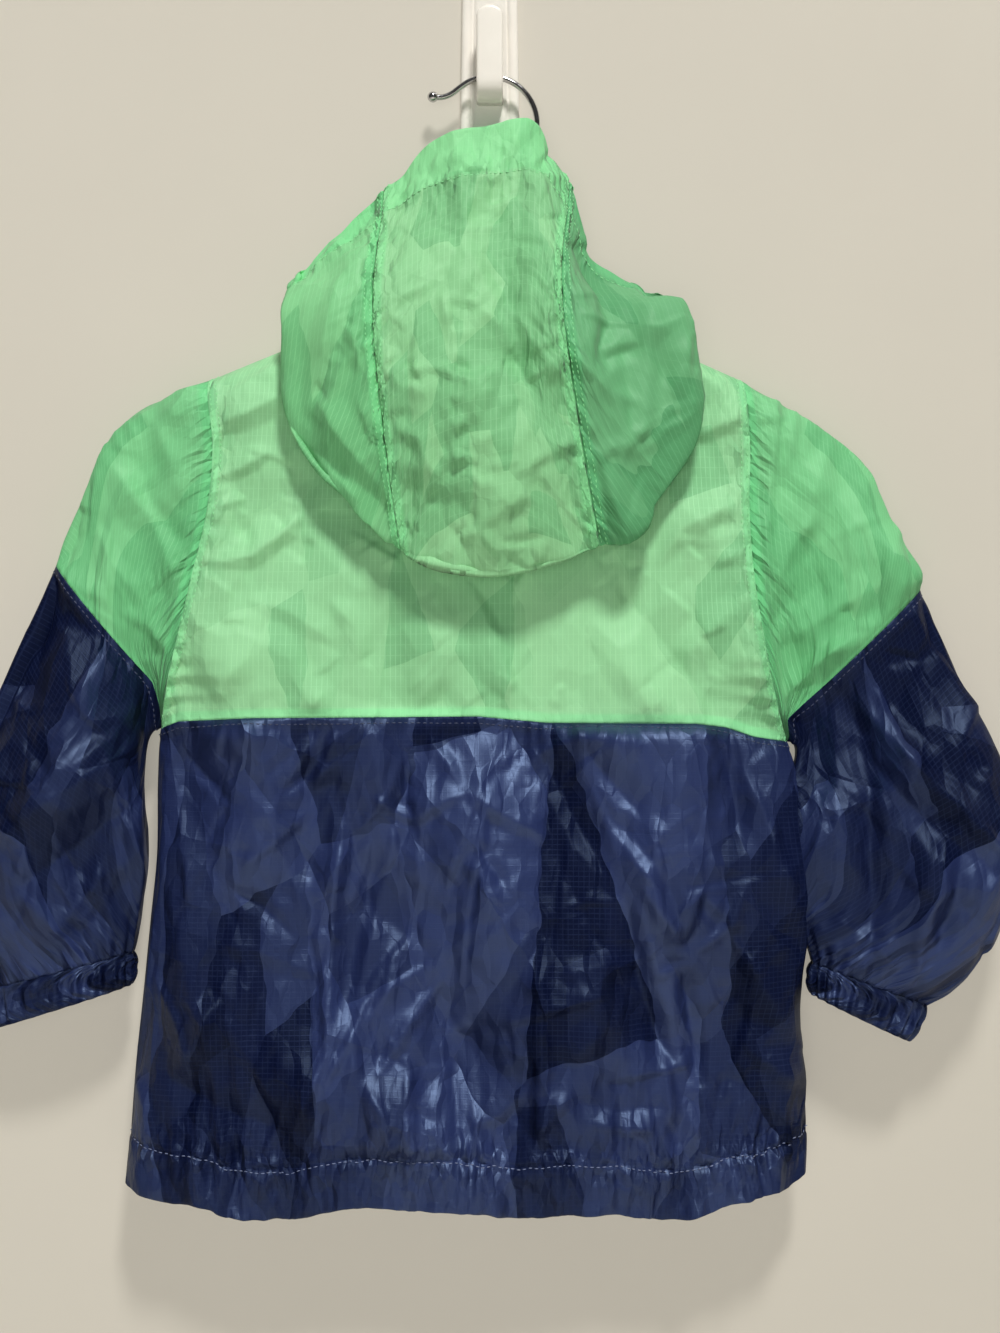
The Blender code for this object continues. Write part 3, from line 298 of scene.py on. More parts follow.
def ribPoints(places):
    rows = spline(column(hood["ribs"], 0), np.array(hood["ribs"], float)[:, 1:], places)
    rolled = smoothStep(rows[:, 0])[:, None]
    face, belly, fold = rows[:, 1:4], rows[:, 4:7], rows[:, 7:10]
    across = neckAcross(places)
    rear = np.abs(places) <= 0.5
    neckZ = np.where(rear, neckLine("back", across), neckLine("front", across))
    depth = np.where(rear, bodyDepth("back", across, neckZ), bodyDepth("front", across, neckZ))
    corner = np.abs(np.sin(math.pi * places))
    neck = np.stack([across, depth, neckZ + hood["lift"] * corner ** 6], -1)
    under = (fold + neck) / 2
    behind = bodyDepth("back", under[:, 0], under[:, 2]) - hood["clear"]
    overBack = np.abs(places) < hood["overBack"]
    under[:, 1] = np.where(overBack, np.minimum(under[:, 1], behind), under[:, 1])
    sideways, back, up = hood["roll"]
    outward = sideways * corner * np.clip((hood["overBack"] - np.abs(places)) / 0.1, -0.6, 1)
    backward = back * np.clip(np.cos(math.pi * places), -0.2, 1)
    over = np.stack([np.sign(places) * outward, backward, np.full_like(across, up)], -1)
    roll = neck + rolled * over + (1 - rolled) * (fold - neck) * np.array([0.05, 0.2, 0.25])
    return np.stack([face, belly, fold, under, roll, neck])


def offTheShoulders(points, weight):
    across, depth, height = points[..., 0], points[..., 1], points[..., 2]
    crest = along(body["shoulderLine"], across) + hood["clear"]
    drop = body["shoulderRound"] + hood["clear"]
    middle = byHeight(body["depths"], 1, height)
    behind = depth < middle
    backFull, frontFull = (byHeight(body["depths"], index, height) for index in (2, 3))
    full = np.where(behind, backFull, frontFull) + hood["clear"]
    share = np.clip(np.abs(depth - middle) / full, 0, 1)
    lift = np.maximum(crest - drop * (1 - np.sqrt(1 - share ** 2)) - height, 0)
    below = np.clip((crest - height) / drop, 0, 1)
    push = np.maximum(full * (np.sqrt(1 - (1 - below) ** 2) - share), 0)
    both = np.maximum(lift ** 2 + push ** 2, 1e-9)
    moved = points.copy()
    moved[..., 2] += lift * push ** 2 / both * weight
    moved[..., 1] += np.where(behind, -1, 1) * push * lift ** 2 / both * weight
    return moved


def hoodSurface(places, shares):
    points = spline(hood["stations"], ribPoints(places), shares)
    return offTheShoulders(points, smoothStep((0.985 - shares) / 0.05)[:, None])


def random01(i, j, seed):
    # a fixed number from 0 to 1 for each pair of whole numbers
    mixed = (i.astype(np.int64) * 374761393 + j.astype(np.int64) * 668265263 + seed * 1442695041) & 0xFFFFFFFF
    mixed = ((mixed ^ (mixed >> 13)) * 1274126177) & 0xFFFFFFFF
    mixed = ((mixed ^ (mixed >> 16)) * 2246822519) & 0xFFFFFFFF
    return ((mixed ^ (mixed >> 15)) & 0xFFFFFF) / float(0xFFFFFF)


def softNoise(u, v, size, seed):
    # smooth drift from 0 to 1
    gridU, gridV = u / size, v / size
    i, j = np.floor(gridU), np.floor(gridV)
    a, b = smoothStep(gridU - i), smoothStep(gridV - j)
    low = random01(i, j, seed) * (1 - a) + random01(i + 1, j, seed) * a
    high = random01(i, j + 1, seed) * (1 - a) + random01(i + 1, j + 1, seed) * a
    return low * (1 - b) + high * b


def creaseCells(u, v, seed, blend):
    i, j = np.floor(u), np.floor(v)
    total = np.zeros(np.shape(u))
    for stepU in range(-2, 3):
        for stepV in range(-2, 3):
            cellU, cellV = i + stepU, j + stepV
            offU = u - cellU - random01(cellU, cellV, seed)
            offV = v - cellV - random01(cellU, cellV, seed + 11)
            leanU = random01(cellU, cellV, seed + 23) * 1.5 - 0.75
            leanV = random01(cellU, cellV, seed + 37) * 1.5 - 0.75
            level = random01(cellU, cellV, seed + 51) * 0.35
            total += np.exp(-(leanU * offU + leanV * offV + offU ** 2 + offV ** 2 + level) / blend)
    return -blend * np.log(total)


def crumple(u, v, cell, tilt, stretch, lean, seed, blend=0.014):
    # flat facets between sharp ridges and valleys
    swayU = u + (softNoise(u, v, cell * 2.6, seed + 5) - 0.5) * cell * 0.5
    swayV = v + (softNoise(u, v, cell * 2.6, seed + 7) - 0.5) * cell * 0.5
    c, s = math.cos(math.radians(lean)), math.sin(math.radians(lean))
    runU, runV = (swayU * c + swayV * s) / cell, (swayV * c - swayU * s) / (cell * stretch)
    high = creaseCells(runU, runV, seed, blend)
    low = creaseCells(runU, runV, seed + 101, blend)
    return (high - low) * tilt * cell * 0.7


def oneFold(x, z, line, reachLeft, reachRight, tall, soften):
    line = np.array(line, float)
    runs = np.linalg.norm(np.diff(line, axis=0), axis=1)
    whole, before = runs.sum(), 0.0
    nearest, place, side = np.full(x.shape, 1e9), np.zeros(x.shape), np.zeros(x.shape)
    for start, end, run in zip(line[:-1], line[1:], runs):
        dirX, dirZ = (end - start) / run
        t = (x - start[0]) * dirX + (z - start[1]) * dirZ
        held = np.clip(t, 0, run)
        distance = np.hypot(x - start[0] - held * dirX, z - start[1] - held * dirZ)
        off = -(x - start[0]) * dirZ + (z - start[1]) * dirX
        closer = distance < nearest
        nearest = np.where(closer, distance, nearest)
        place = np.where(closer, (before + t) / whole, place)
        side = np.where(closer, np.where(off >= 0, 1, -1), side)
        before += run
    taper = smoothStep((place + 0.12) / 0.42) * smoothStep((1.12 - place) / 0.42)
    reach = np.where(side > 0, reachLeft, reachRight) * (0.35 + 0.65 * taper)
    ramp = 1 - (np.sqrt(nearest ** 2 + soften ** 2) - soften) / reach
    return tall * taper * 0.5 * (ramp + np.sqrt(ramp ** 2 + 0.02))


def foldRelief(creases, x, z, soften=0.5):
    # folds with two straight flanks each, and a crisp line where they meet
    total = np.zeros(np.shape(x))
    for line, reachLeft, reachRight, tall in creases:
        xs, zs = column(line, 0), column(line, 1)
        room = 1.5 * max(reachLeft, reachRight)
        near = (x > xs.min() - room) & (x < xs.max() + room) & (z > zs.min() - room) & (z < zs.max() + room)
        if near.any():
            total[near] += oneFold(x[near], z[near], line, reachLeft, reachRight, tall, soften)
    return total


def strayRelief(x, z, box, seed, kind, mirrored=False):
    # short creases of no set place: one steep flank and one shallow one each
    count, length, shallow, tall, lean, spread = kind
    lean = -lean if mirrored else lean
    spots = np.random.default_rng(seed)
    creases = []
    for _ in range(count):
        midX, midZ = spots.uniform(box[0], box[1]), spots.uniform(box[2], box[3])
        turn = math.radians(lean + spread * spots.normal())
        run, bow = spots.uniform(*length), spots.normal() * cloth["creaseBow"]
        stepX, stepZ = math.sin(turn) * run / 2, math.cos(turn) * run / 2
        reaches = (spots.uniform(*cloth["steepFlank"]), spots.uniform(*shallow))
        if spots.random() < 0.5:
            reaches = reaches[::-1]
        sign = 1 if spots.random() < cloth["raisedShare"] else -1
        middle = (midX + stepZ * bow, midZ - stepX * bow)
        line = ((midX - stepX, midZ - stepZ), middle, (midX + stepX, midZ + stepZ))
        creases.append((line, *reaches, sign * spots.uniform(*tall)))
    return foldRelief(creases, x, z)


def turnedEdge(points, normals, rowsBack, radius, steps=3):
    # the cloth goes round its own edge and back up inside
    down = unit(points[-1] - points[-2])
    centre = points[-1] - normals[-1] * radius
    rows = [centre + radius * (math.cos(turn) * normals[-1] + math.sin(turn) * down)
            for turn in np.linspace(0, math.pi, steps + 2)[1:]]
    rows += [points[k] - 2 * radius * normals[k] for k in rowsBack]
    return np.array(rows)


def gridNormals(points, outward):
    down, across = np.gradient(points, axis=0), np.gradient(points, axis=1)
    normals = unit(np.cross(down, across))
    return normals * np.sign(np.sum(normals * outward))


def ringNormals(points):
    down = np.gradient(points, axis=0)
    across = np.roll(points, -1, 1) - np.roll(points, 1, 1)
    normals = unit(np.cross(down, across))
    return normals * np.sign(np.sum(normals * (points - points.mean(axis=1, keepdims=True))))


def away(distance, reach):
    return 1 - np.exp(-(np.maximum(distance, 0) / reach) ** 1.5)


def puckers(place, distance, rows, seed, step=1):
    # gathers that start at a seam, each as long and as deep as it likes; rows of wave, height, reach and lean
    still, total = np.zeros(np.shape(place)), 0
    for k, (wave, tall, reach, lean) in enumerate(rows):
        start = seed + step * k
        sway = (softNoise(place, still, wave * 1.9, start) - 0.5) * 3.0
        leaning = lean + (softNoise(place, still, wave * 2.7, start + 1) - 0.5) * 0.9
        strength = 0.1 + 2.1 * softNoise(place, still, wave * 2.1, start + 3) ** 2.2
        length = reach * (0.35 + 1.2 * softNoise(place, still, wave * 1.3, start + 9))
        ripple = np.arcsin(0.94 * np.sin(2 * math.pi * (place / wave + sway + leaning * distance / wave))) / 1.2
        total = total + tall * strength * ripple * (1 - np.exp(-distance / 1.6)) * np.exp(-distance / length)
    return total


def crumpledSkin(points, normals, layers, seed, frontSize=1.0):
    x, y, z = points[..., 0], points[..., 1], points[..., 2]
    back = smoothStep((-normals[..., 1] - 0.1) / 0.5)
    front = smoothStep((normals[..., 1] - 0.1) / 0.5)
    side = 1 - back - front
    total = np.zeros(x.shape)
    for k, (cell, tilt, stretch, lean) in enumerate(layers):
        step = seed + 17 * k
        total += back * crumple(x, z, cell, tilt, stretch, lean, step)
        total += front * crumple(x, z, cell * frontSize, tilt, stretch, -lean, step + 1000)
        total += side * crumple(y * 1.3, z, cell, tilt * 0.7, stretch, lean, step + 2000)
    return total


cloth = {
    "thickness": 0.4,
    "hemRadius": 0.9,
    "creaseBow": 0.09,          # how far a stray crease bends, as a share of its length
    "steepFlank": (1.6, 3.2),
    "raisedShare": 0.7,         # the other stray creases are troughs
    "flatPercentile": 85,       # of the lengths of the rows and columns, for the cut
}
made = {}       # every sheet's final points, for the stitches and the cuts


def longer(rows, extra, atStart=False):
    if atStart:
        return np.concatenate([np.repeat(rows[:1], extra, 0), rows])
    return np.concatenate([rows, np.repeat(rows[-1:], extra, 0)])


def clothSheet(name, points, uv, seam, pinch, outward, material, restsOn="hanger_body", ring=False):
    rows, columns = points.shape[:2]
    index = np.arange(rows * columns).reshape(rows, columns)
    corner = np.arange(uv.shape[0] * uv.shape[1]).reshape(uv.shape[:2])
    if ring:
        index = np.concatenate([index, index[:, :1]], 1)
    quads, corners = (
        np.stack([grid[:-1, :-1], grid[1:, :-1], grid[1:, 1:], grid[:-1, 1:]], -1).reshape(-1, 4)
        for grid in (index, corner)
    )
    flat = points.reshape(-1, 3)
    turn = np.cross(flat[quads[:, 1]] - flat[quads[:, 0]], flat[quads[:, 3]] - flat[quads[:, 0]])
    if np.sum(turn * outward.reshape(-1, 3)[quads[:, 0]]) < 0:
        quads, corners = quads[:, ::-1], corners[:, ::-1]
    mesh = bpy.data.meshes.new(name)
    mesh.from_pydata((flat * mm).tolist(), [], quads.tolist())
    layer = mesh.uv_layers.new(name="clothUv")
    layer.data.foreach_set("uv", (uv.reshape(-1, 2)[corners.reshape(-1)] * mm).ravel().astype(np.float32))
    for label, values in (("seam", seam), ("pinch", pinch)):
        mark = mesh.attributes.new(label, "FLOAT", "POINT")
        mark.data.foreach_set("value", np.broadcast_to(values, (rows, columns)).ravel().astype(np.float32))
    mesh.shade_smooth()
    mesh.materials.append(material)
    piece = bpy.data.objects.new(name + "_cloth", mesh)
    bpy.context.collection.objects.link(piece)
    wall = piece.modifiers.new("thickness", "SOLIDIFY")
    wall.thickness = cloth["thickness"] * mm
    wall.offset = -1.0
    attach(piece, "jacket")
    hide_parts(name)
    across, length = (
        np.percentile(distances(points, axis).max(axis), cloth["flatPercentile"]) * mm for axis in (1, 0)
    )
    if ring:
        across += np.linalg.norm(points[:, 0] - points[:, -1], axis=1).max() * mm
    made[name] = {
        "object": piece, "restsOn": restsOn, "flat": (round(float(across), 3), round(float(length), 3)),
        "area": round(float(np.linalg.norm(turn, axis=1).sum() * mm * mm), 4),
    }


def lineOn(name, edge, distance):
    # a line on a finished sheet, at a distance from one of its edges
    points = made[name]["outer"]
    if edge in ("left", "right"):
        points = points.transpose(1, 0, 2)
    if edge in ("bottom", "right"):
        points = points[::-1]
    run = distances(points, 0)
    line, facing = (
        np.array([
            [np.interp(distance, run[:, j], grid[:, j, k]) for k in range(3)] for j in range(run.shape[1])
        ])
        for grid in (points, gridNormals(points, made[name]["outwards"]))
    )
    return line, unit(facing)


folds = {
    "lowerBack": (
        (((-81, -370), (-87, -386), (-94, -402)), 7, 5, 3.0),
        (((-89, -369), (-98, -383), (-107, -399)), 5, 6, 2.2),
        (((-164, -384), (-151, -397), (-138, -411)), 7, 5, -2.5),
        (((-78, -407), (-80, -439), (-83, -465), (-85, -513), (-87, -537)), 6, 13, 5.0),
        (((-85, -537), (-91, -553), (-102, -579)), 4, 4, 2.5),
        (((-48, -419), (-59, -460), (-68, -505), (-73, -556)), 10, 6, 3.0),
        (((-61, -505), (-74, -534), (-89, -561)), 3, 3, 1.8),
        (((-41, -419), (-27, -409), (-10, -402)), 13, 5, 2.6),
        (((-61, -407), (-47, -415), (-41, -419)), 5, 4, 2.0),
        (((-32, -375), (-24, -386), (-16, -398)), 5, 6, 2.0),
        (((-148, -484), (-124, -487), (-94, -499)), 13, 8, 2.5),
        (((-139, -455), (-123, -463), (-106, -479)), 6, 6, -2.2),
        (((-169, -558), (-138, -574), (-106, -583)), 37, 14, -5.0),
        (((-145, -514), (-159, -540), (-169, -556)), 7, 11, 2.5),
        (((-145, -514), (-127, -545), (-106, -583)), 10, 6, 2.5),
        (((-69, -540), (-47, -546), (-26, -561)), 16, 17, -4.0),
        (((-21, -540), (-18, -566), (-15, -598)), 7, 8, -3.5),
        (((-58, -552), (-42, -526), (-24, -501)), 5, 4, 2.2),
        (((25, -378), (40, -407), (59, -443)), 14, 7, -4.2),
        (((49, -378), (64, -397), (80, -415)), 11, 6, -3.0),
        (((62, -419), (85, -451), (100, -482)), 6, 14, 4.0),
        (((80, -452), (90, -468), (102, -483)), 5, 5, 2.2),
        (((111, -455), (107, -468), (102, -483)), 4, 6, 2.4),
        (((72, -460), (80, -503), (88, -529), (95, -547)), 8, 16, -6.0),
        (((112, -371), (112, -424), (111, -455)), 14, 11, -2.4),
        (((111, -455), (124, -470), (143, -508), (166, -541)), 21, 7, 4.0),
        (((130, -386), (143, -412), (151, -439), (159, -476)), 6, 8, 3.0),
        (((122, -378), (130, -402), (134, -434)), 7, 6, -2.5),
        (((101, -492), (106, -524), (112, -558)), 7, 7, -4.0),
        (((93, -540), (95, -561), (98, -582)), 4, 5, 3.0),
        (((120, -505), (130, -513), (143, -534)), 14, 18, -3.0),
        (((138, -540), (151, -550), (166, -562)), 8, 6, 3.0),
        (((53, -578), (69, -580), (85, -582)), 14, 5, 2.5),
        (((40, -546), (51, -537), (61, -529)), 12, 8, 2.5),
        (((-9, -578), (6, -573), (20, -557)), 14, 6, 3.0),
        (((23, -585), (33, -577), (42, -564)), 12, 6, 2.5),
        (((42, -566), (67, -573), (90, -569)), 48, 11, -5.5),
        (((-13, -402), (6, -414), (27, -426)), 16, 7, 2.6),
        (((-7, -429), (1, -443), (10, -458)), 6, 8, -2.5),
        (((38, -468), (24, -489), (10, -511)), 10, 7, -3.0),
        (((38, -499), (59, -495), (80, -494)), 7, 10, 2.2),
        (((8, -439), (0, -460), (-6, -492)), 32, 26, 3.0),
        (((-127, -407), (-121, -434), (-124, -460)), 21, 26, 2.6),
        (((-166, -423), (-161, -460), (-166, -492)), 16, 13, 2.4),
    ),
    "yoke": (
        (((-148, -207), (-128, -200), (-101, -186)), 16, 9, 3.6),
        (((-148, -236), (-133, -230), (-118, -222)), 10, 5, 2.3),
        (((-149, -281), (-127, -277), (-109, -263), (-99, -241)), 14, 7, 3.2),
        (((-148, -251), (-140, -249), (-131, -246)), 5, 4, 1.6),
        (((-10, -294), (3, -322), (14, -355)), 5, 15, 2.4),
        (((140, -200), (124, -207), (107, -214)), 6, 12, 2.8),
        (((140, -247), (120, -254), (102, -263), (91, -281)), 7, 13, 3.0),
        (((140, -271), (131, -277), (119, -283)), 4, 6, 1.6),
        (((140, -300), (120, -314), (107, -329), (112, -366)), 12, 11, 2.8),
        (((140, -322), (147, -349), (155, -373)), 5, 6, 2.2),
        (((-85, -301), (-73, -314), (-68, -330)), 9, 6, 1.6),
        (((-128, -301), (-107, -307), (-85, -322)), 10, 7, 1.6),
        (((54, -312), (70, -328), (76, -354)), 14, 11, 1.8),
        (((-48, -312), (-37, -333), (-35, -357)), 14, 13, 1.6),
        (((-139, -191), (-122, -179), (-109, -174)), 5, 6, 1.6),
        (((128, -191), (119, -183), (112, -179)), 5, 4, 1.5),
    ),
    "sleeveUpper_left": (
        (((-203, -229), (-181, -258), (-160, -303)), 6, 13, 3.4),
        (((-198, -307), (-181, -315), (-169, -330)), 7, 5, 2.0),
        (((-181, -205), (-168, -231), (-157, -263)), 7, 9, 2.0),
        (((-213, -258), (-203, -280), (-187, -301)), 6, 10, 2.0),
        (((-181, -322), (-173, -322), (-170, -341)), 4, 5, 1.6),
    ),
    "sleeveUpper_right": (
        (((155, -193), (149, -247), (145, -307)), 5, 7, 2.6),
        (((186, -214), (172, -247), (158, -280), (146, -314)), 11, 12, 3.2),
        (((213, -289), (187, -306), (158, -322)), 9, 13, 3.0),
        (((194, -322), (174, -337), (158, -355)), 5, 7, 2.5),
        (((166, -194), (162, -215), (159, -231)), 5, 5, 1.6),
        (((219, -258), (214, -277), (206, -290)), 7, 10, 1.6),
    ),
    "sleeveLower_left": (
        (((-179, -370), (-220, -399), (-258, -427)), 18, 17, 6.0),
        (((-179, -403), (-212, -426), (-250, -454)), 15, 14, -6.0),
        (((-186, -434), (-207, -450), (-231, -479)), 11, 11, 4.2),
        (((-209, -444), (-202, -468), (-196, -490)), 7, 8, 3.0),
        (((-244, -460), (-231, -476), (-217, -493)), 8, 7, 3.0),
        (((-228, -312), (-222, -344), (-228, -375)), 16, 18, 3.0),
        (((-191, -354), (-202, -375), (-223, -391)), 6, 6, 2.0),
        (((-183, -463), (-192, -474), (-197, -490)), 5, 6, -2.6),
    ),
    "sleeveLower_right": (
        (((185, -344), (207, -391), (239, -423), (271, -451)), 10, 13, -5.0),
        (((196, -354), (231, -394), (271, -435)), 12, 7, 4.2),
        (((184, -378), (187, -418), (185, -463)), 14, 13, 5.0),
        (((202, -397), (204, -450), (204, -504)), 8, 10, -5.0),
        (((226, -418), (234, -455), (226, -498)), 14, 14, 4.5),
        (((221, -328), (239, -365), (258, -402)), 16, 14, 3.0),
        (((207, -349), (218, -375), (234, -397)), 6, 5, 2.0),
        (((250, -434), (245, -460), (237, -487)), 6, 7, -3.0),
        (((173, -460), (181, -476), (184, -492)), 6, 6, 2.4),
    ),
    "hood": (
        (((38, -172), (46, -178), (54, -188)), 5, 5, 3.0),
        (((46, -106), (58, -133), (64, -155), (55, -178)), 7, 5, -3.2),
        (((77, -136), (83, -160), (82, -199), (78, -219)), 9, 8, 3.0),
        (((55, -178), (69, -173), (78, -169)), 5, 6, -2.6),
        (((51, -183), (64, -194), (78, -198)), 5, 7, 2.4),
        (((9, -240), (32, -225), (56, -211)), 9, 5, 3.2),
        (((-56, -228), (-26, -236), (7, -243), (37, -234)), 8, 14, 2.4),
        (((-10, -264), (8, -254), (26, -243)), 8, 6, 1.8),
        (((-79, -133), (-85, -167), (-88, -199), (-75, -219), (-57, -244)), 11, 11, 3.4),
        (((58, -224), (73, -221), (84, -208)), 5, 6, 2.0),
        (((65, -195), (72, -214), (68, -234)), 6, 6, 2.0),
        (((-4, -123), (6, -138), (14, -152)), 5, 5, -1.8),
        (((14, -152), (26, -172), (38, -190)), 5, 5, 1.8),
        (((-53, -185), (-41, -183), (-30, -183)), 4, 4, 1.8),
        (((-49, -146), (-39, -142), (-31, -138)), 4, 4, 1.5),
        (((-50, -211), (-36, -219), (-31, -234)), 6, 5, 2.0),
        (((-26, -146), (-18, -164), (-19, -188)), 6, 6, 1.6),
        (((-10, -146), (6, -159), (16, -177)), 5, 5, 1.6),
        (((-10, -188), (6, -183), (21, -195)), 5, 5, 1.6),
        (((-75, -159), (-67, -169), (-60, -172)), 4, 5, 1.8),
        (((-78, -102), (-83, -112), (-98, -126)), 6, 7, 1.8),
        (((-26, -76), (-18, -73), (-11, -77)), 3, 4, 1.6),
        (((58, -146), (60, -164), (57, -177)), 6, 5, -2.0),
        (((104, -162), (99, -182), (93, -203)), 7, 7, 2.0),
        (((-36, -68), (-20, -63), (-5, -63)), 5, 6, 1.2),
    ),
}


def edgeSpread(count, share, steps):
    # places from 0 to 1, closer together where the cloth rounds its edges
    outer = share * (1 - np.cos(np.linspace(0, math.pi / 2, steps + 1)))
    return np.concatenate([outer, np.linspace(share, 1 - share, count)[1:-1], 1 - outer[::-1]])


def panelUv(points, middle):
    across, down = distances(points, 1), distances(points, 0)
    return across - across[:, middle:middle + 1] + points[:, middle:middle + 1, 0], down


panels = {
    "backColumns": 205,
    "frontColumns": 56,
    "rows": {"back": {"upper": 160, "lower": 170}, "front": {"upper": 72, "lower": 84}},
    "sideShare": 0.05,          # share of the width that rounds each side
    "topShare": 0.11,           # share of the rows that rounds the shoulders
    "casingStart": 0.9,
    "casingHeight": 25.5,
    "hemWave": 2.2,
    "drift": (70, 2.2),         # size and height of the slow waves of the whole back
    "strayBox": {"upper": (-150, 140, -362, -200), "lower": (-195, 170, -600, -368)},
    # folds: strength of the placed ones; crumple: cell, tilt, stretch and lean of each layer;
    # stray: count, length, shallow flank, height, lean from upright and how far that varies
    "detail": {
        ("back", "upper"): {
            "folds": 1.5, "crumple": ((50, 0.22, 2.0, 25), (24, 0.20, 1.9, -30)),
            "stray": (75, (9, 34), (5, 14), (0.5, 1.6), 25, 45),
        },
        ("back", "lower"): {
            "folds": 1.3, "crumple": ((88, 0.36, 2.2, 18), (44, 0.18, 2.0, -24)),
            "stray": (95, (18, 75), (4, 14), (0.6, 2.4), 14, 30),
        },
        "front": {
            "crumple": ((40, 0.17, 1.6, 10), (19, 0.18, 1.4, -20)),
            "stray": (70, (12, 40), (6, 16), (0.5, 1.6), 10, 40),
        },
    },
    "seeds": {"back": 100, "front": 500},
    # wave, height, reach and lean of the puckers at each seam
    "armholePuckers": ((14, 1.5, 14, 0.25), (4.8, 0.7, 4, 0.0)),
    "yokePuckers": ((12, 0.25, 12, 0.0),),
    "lowerPuckers": ((10, 0.5, 14, 0.2),),
    "hemPuckers": ((17, 4.2, 30, 0.12), (6.5, 2.0, 14, 0.0)),
}


def seamHeights(shares):
    left, right = (edgeAcross(side, body["underarm"][side]) for side in ("left", "right"))
    return along(body["yokeSeam"], left * (1 - shares) + right * shares)


def upperHeights(face, shares):
    _, left, right = body["panelEdges"][0]
    top = topLine(face, left + (right - left) * shares)
    drop = np.linspace(0, 1, panels["rows"][face]["upper"])[:, None]
    topShare = panels["topShare"]
    near = body["shoulderRound"] * (1 - np.cos(np.clip(drop / topShare, 0, 1) * math.pi / 2))
    below = top - seamHeights(shares) - body["shoulderRound"]
    return top - near - below * np.clip((drop - topShare) / (1 - topShare), 0, 1)


def lowerHeights(face, shares):
    _, left, right = body["panelEdges"][-2]
    across = left * (1 - shares) + right * shares
    sharp = along(body["hemLine"], across)
    hem = (sharp + np.roll(sharp, 3) + np.roll(sharp, -3)) / 3
    hem[:3], hem[-3:] = sharp[:3], sharp[-3:]
    wave = softNoise(across, across * 0, 17, 91) + 0.5 * softNoise(across, across * 0, 7, 92) - 0.75
    down = np.linspace(0, 1, panels["rows"][face]["lower"])[:, None]
    straight = seamHeights(shares) * (1 - down) + hem * down
    return straight + panels["hemWave"] * wave * down ** 8 * (1 - np.abs(2 * shares - 1) ** 12), down


def upperRelief(face, x, z, points, normals, sideGap, topGap):
    detail = panels["detail"]["front" if face == "front" else (face, "upper")]
    seed = panels["seeds"][face]
    seamGap = np.abs(z - along(body["yokeSeam"], x))
    still = away(sideGap, 5) * away(topGap, 6)
    calm = away(seamGap, 5) * still
    size, tall = panels["drift"]
    relief = (softNoise(x, z, size, 3) - 0.5) * tall * 2 * away(sideGap, 14) * away(topGap, 20)
    if face == "back":
        relief += detail["folds"] * foldRelief(folds["yoke"], x, z, 0.3) * calm
    relief += strayRelief(x, z, panels["strayBox"]["upper"], seed + 3, detail["stray"]) * calm
    rough = 0.35 + 1.3 * softNoise(x, z, 38, 8) ** 2
    relief += crumpledSkin(points, normals, detail["crumple"], seed, 1.2) * rough * calm
    relief += puckers(-z, sideGap, panels["armholePuckers"], seed + 5) * away(topGap, 10) * away(seamGap, 5)
    welt = (1 - np.exp(-sideGap / 0.6)) * smoothStep((6.5 - sideGap) / 1.2)
    relief += 0.55 * welt * away(topGap, 6) * away(seamGap, 4)
    return relief + puckers(x, seamGap, panels["yokePuckers"], seed + 8) * still


def lowerRelief(face, x, z, points, normals, sideGap, down):
    detail = panels["detail"]["front" if face == "front" else (face, "lower")]
    seed = panels["seeds"][face]
    seamGap = np.abs(z - along(body["yokeSeam"], x))
    calm = away(seamGap, 5) * away(sideGap, 3)
    near = away(sideGap, 5)
    size, tall = panels["drift"]
    relief = (softNoise(x, z, size, 3) - 0.5) * tall * 2 * away(sideGap, 14)
    if face == "back":
        relief += detail["folds"] * foldRelief(folds["lowerBack"], x, z, 0.3) * calm
    relief += strayRelief(x, z, panels["strayBox"]["lower"], seed + 4, detail["stray"]) * calm
    rough = 0.45 + 1.1 * softNoise(x, z, 45, 12) ** 1.5
    inCasing = down - panels["casingStart"]
    rough = rough * (0.35 + 0.65 * smoothStep(-inCasing / 0.03))
    relief += crumpledSkin(points, normals, detail["crumple"], seed + 40, 1.2) * rough * calm
    relief += puckers(x, seamGap, panels["lowerPuckers"], seed + 50) * near
    hemGap = np.abs(inCasing) * 250
    relief += puckers(x, hemGap, panels["hemPuckers"], seed + 60) * near
    pleat = crumple(x, hemGap, 12, 0.34, 3.2, 4, seed + 62) * smoothStep(inCasing / 0.02)
    relief += pleat * near * away(hemGap, 3)
    relief += 0.45 * (inCasing > 0) - 0.9 * np.exp(-(hemGap / 1.6) ** 2)
    return relief + 0.45 * (1 - np.exp(-seamGap / 0.7)) * smoothStep((5.5 - seamGap) / 1.2)


def towardsZip(side, shares, z):
    # a front's inner edge follows the zip
    outer, inner = shares[[0, -1]] if side == "left" else shares[[-1, 0]]
    goalAcross = zipAcross(z) + (-zipper["half"] if side == "left" else zipper["half"])
    goal = (goalAcross - edgeAcross("left", z)) / (edgeAcross("right", z) - edgeAcross("left", z))
    return shares + (goal - inner) * smoothStep((shares - outer) / (inner - outer))


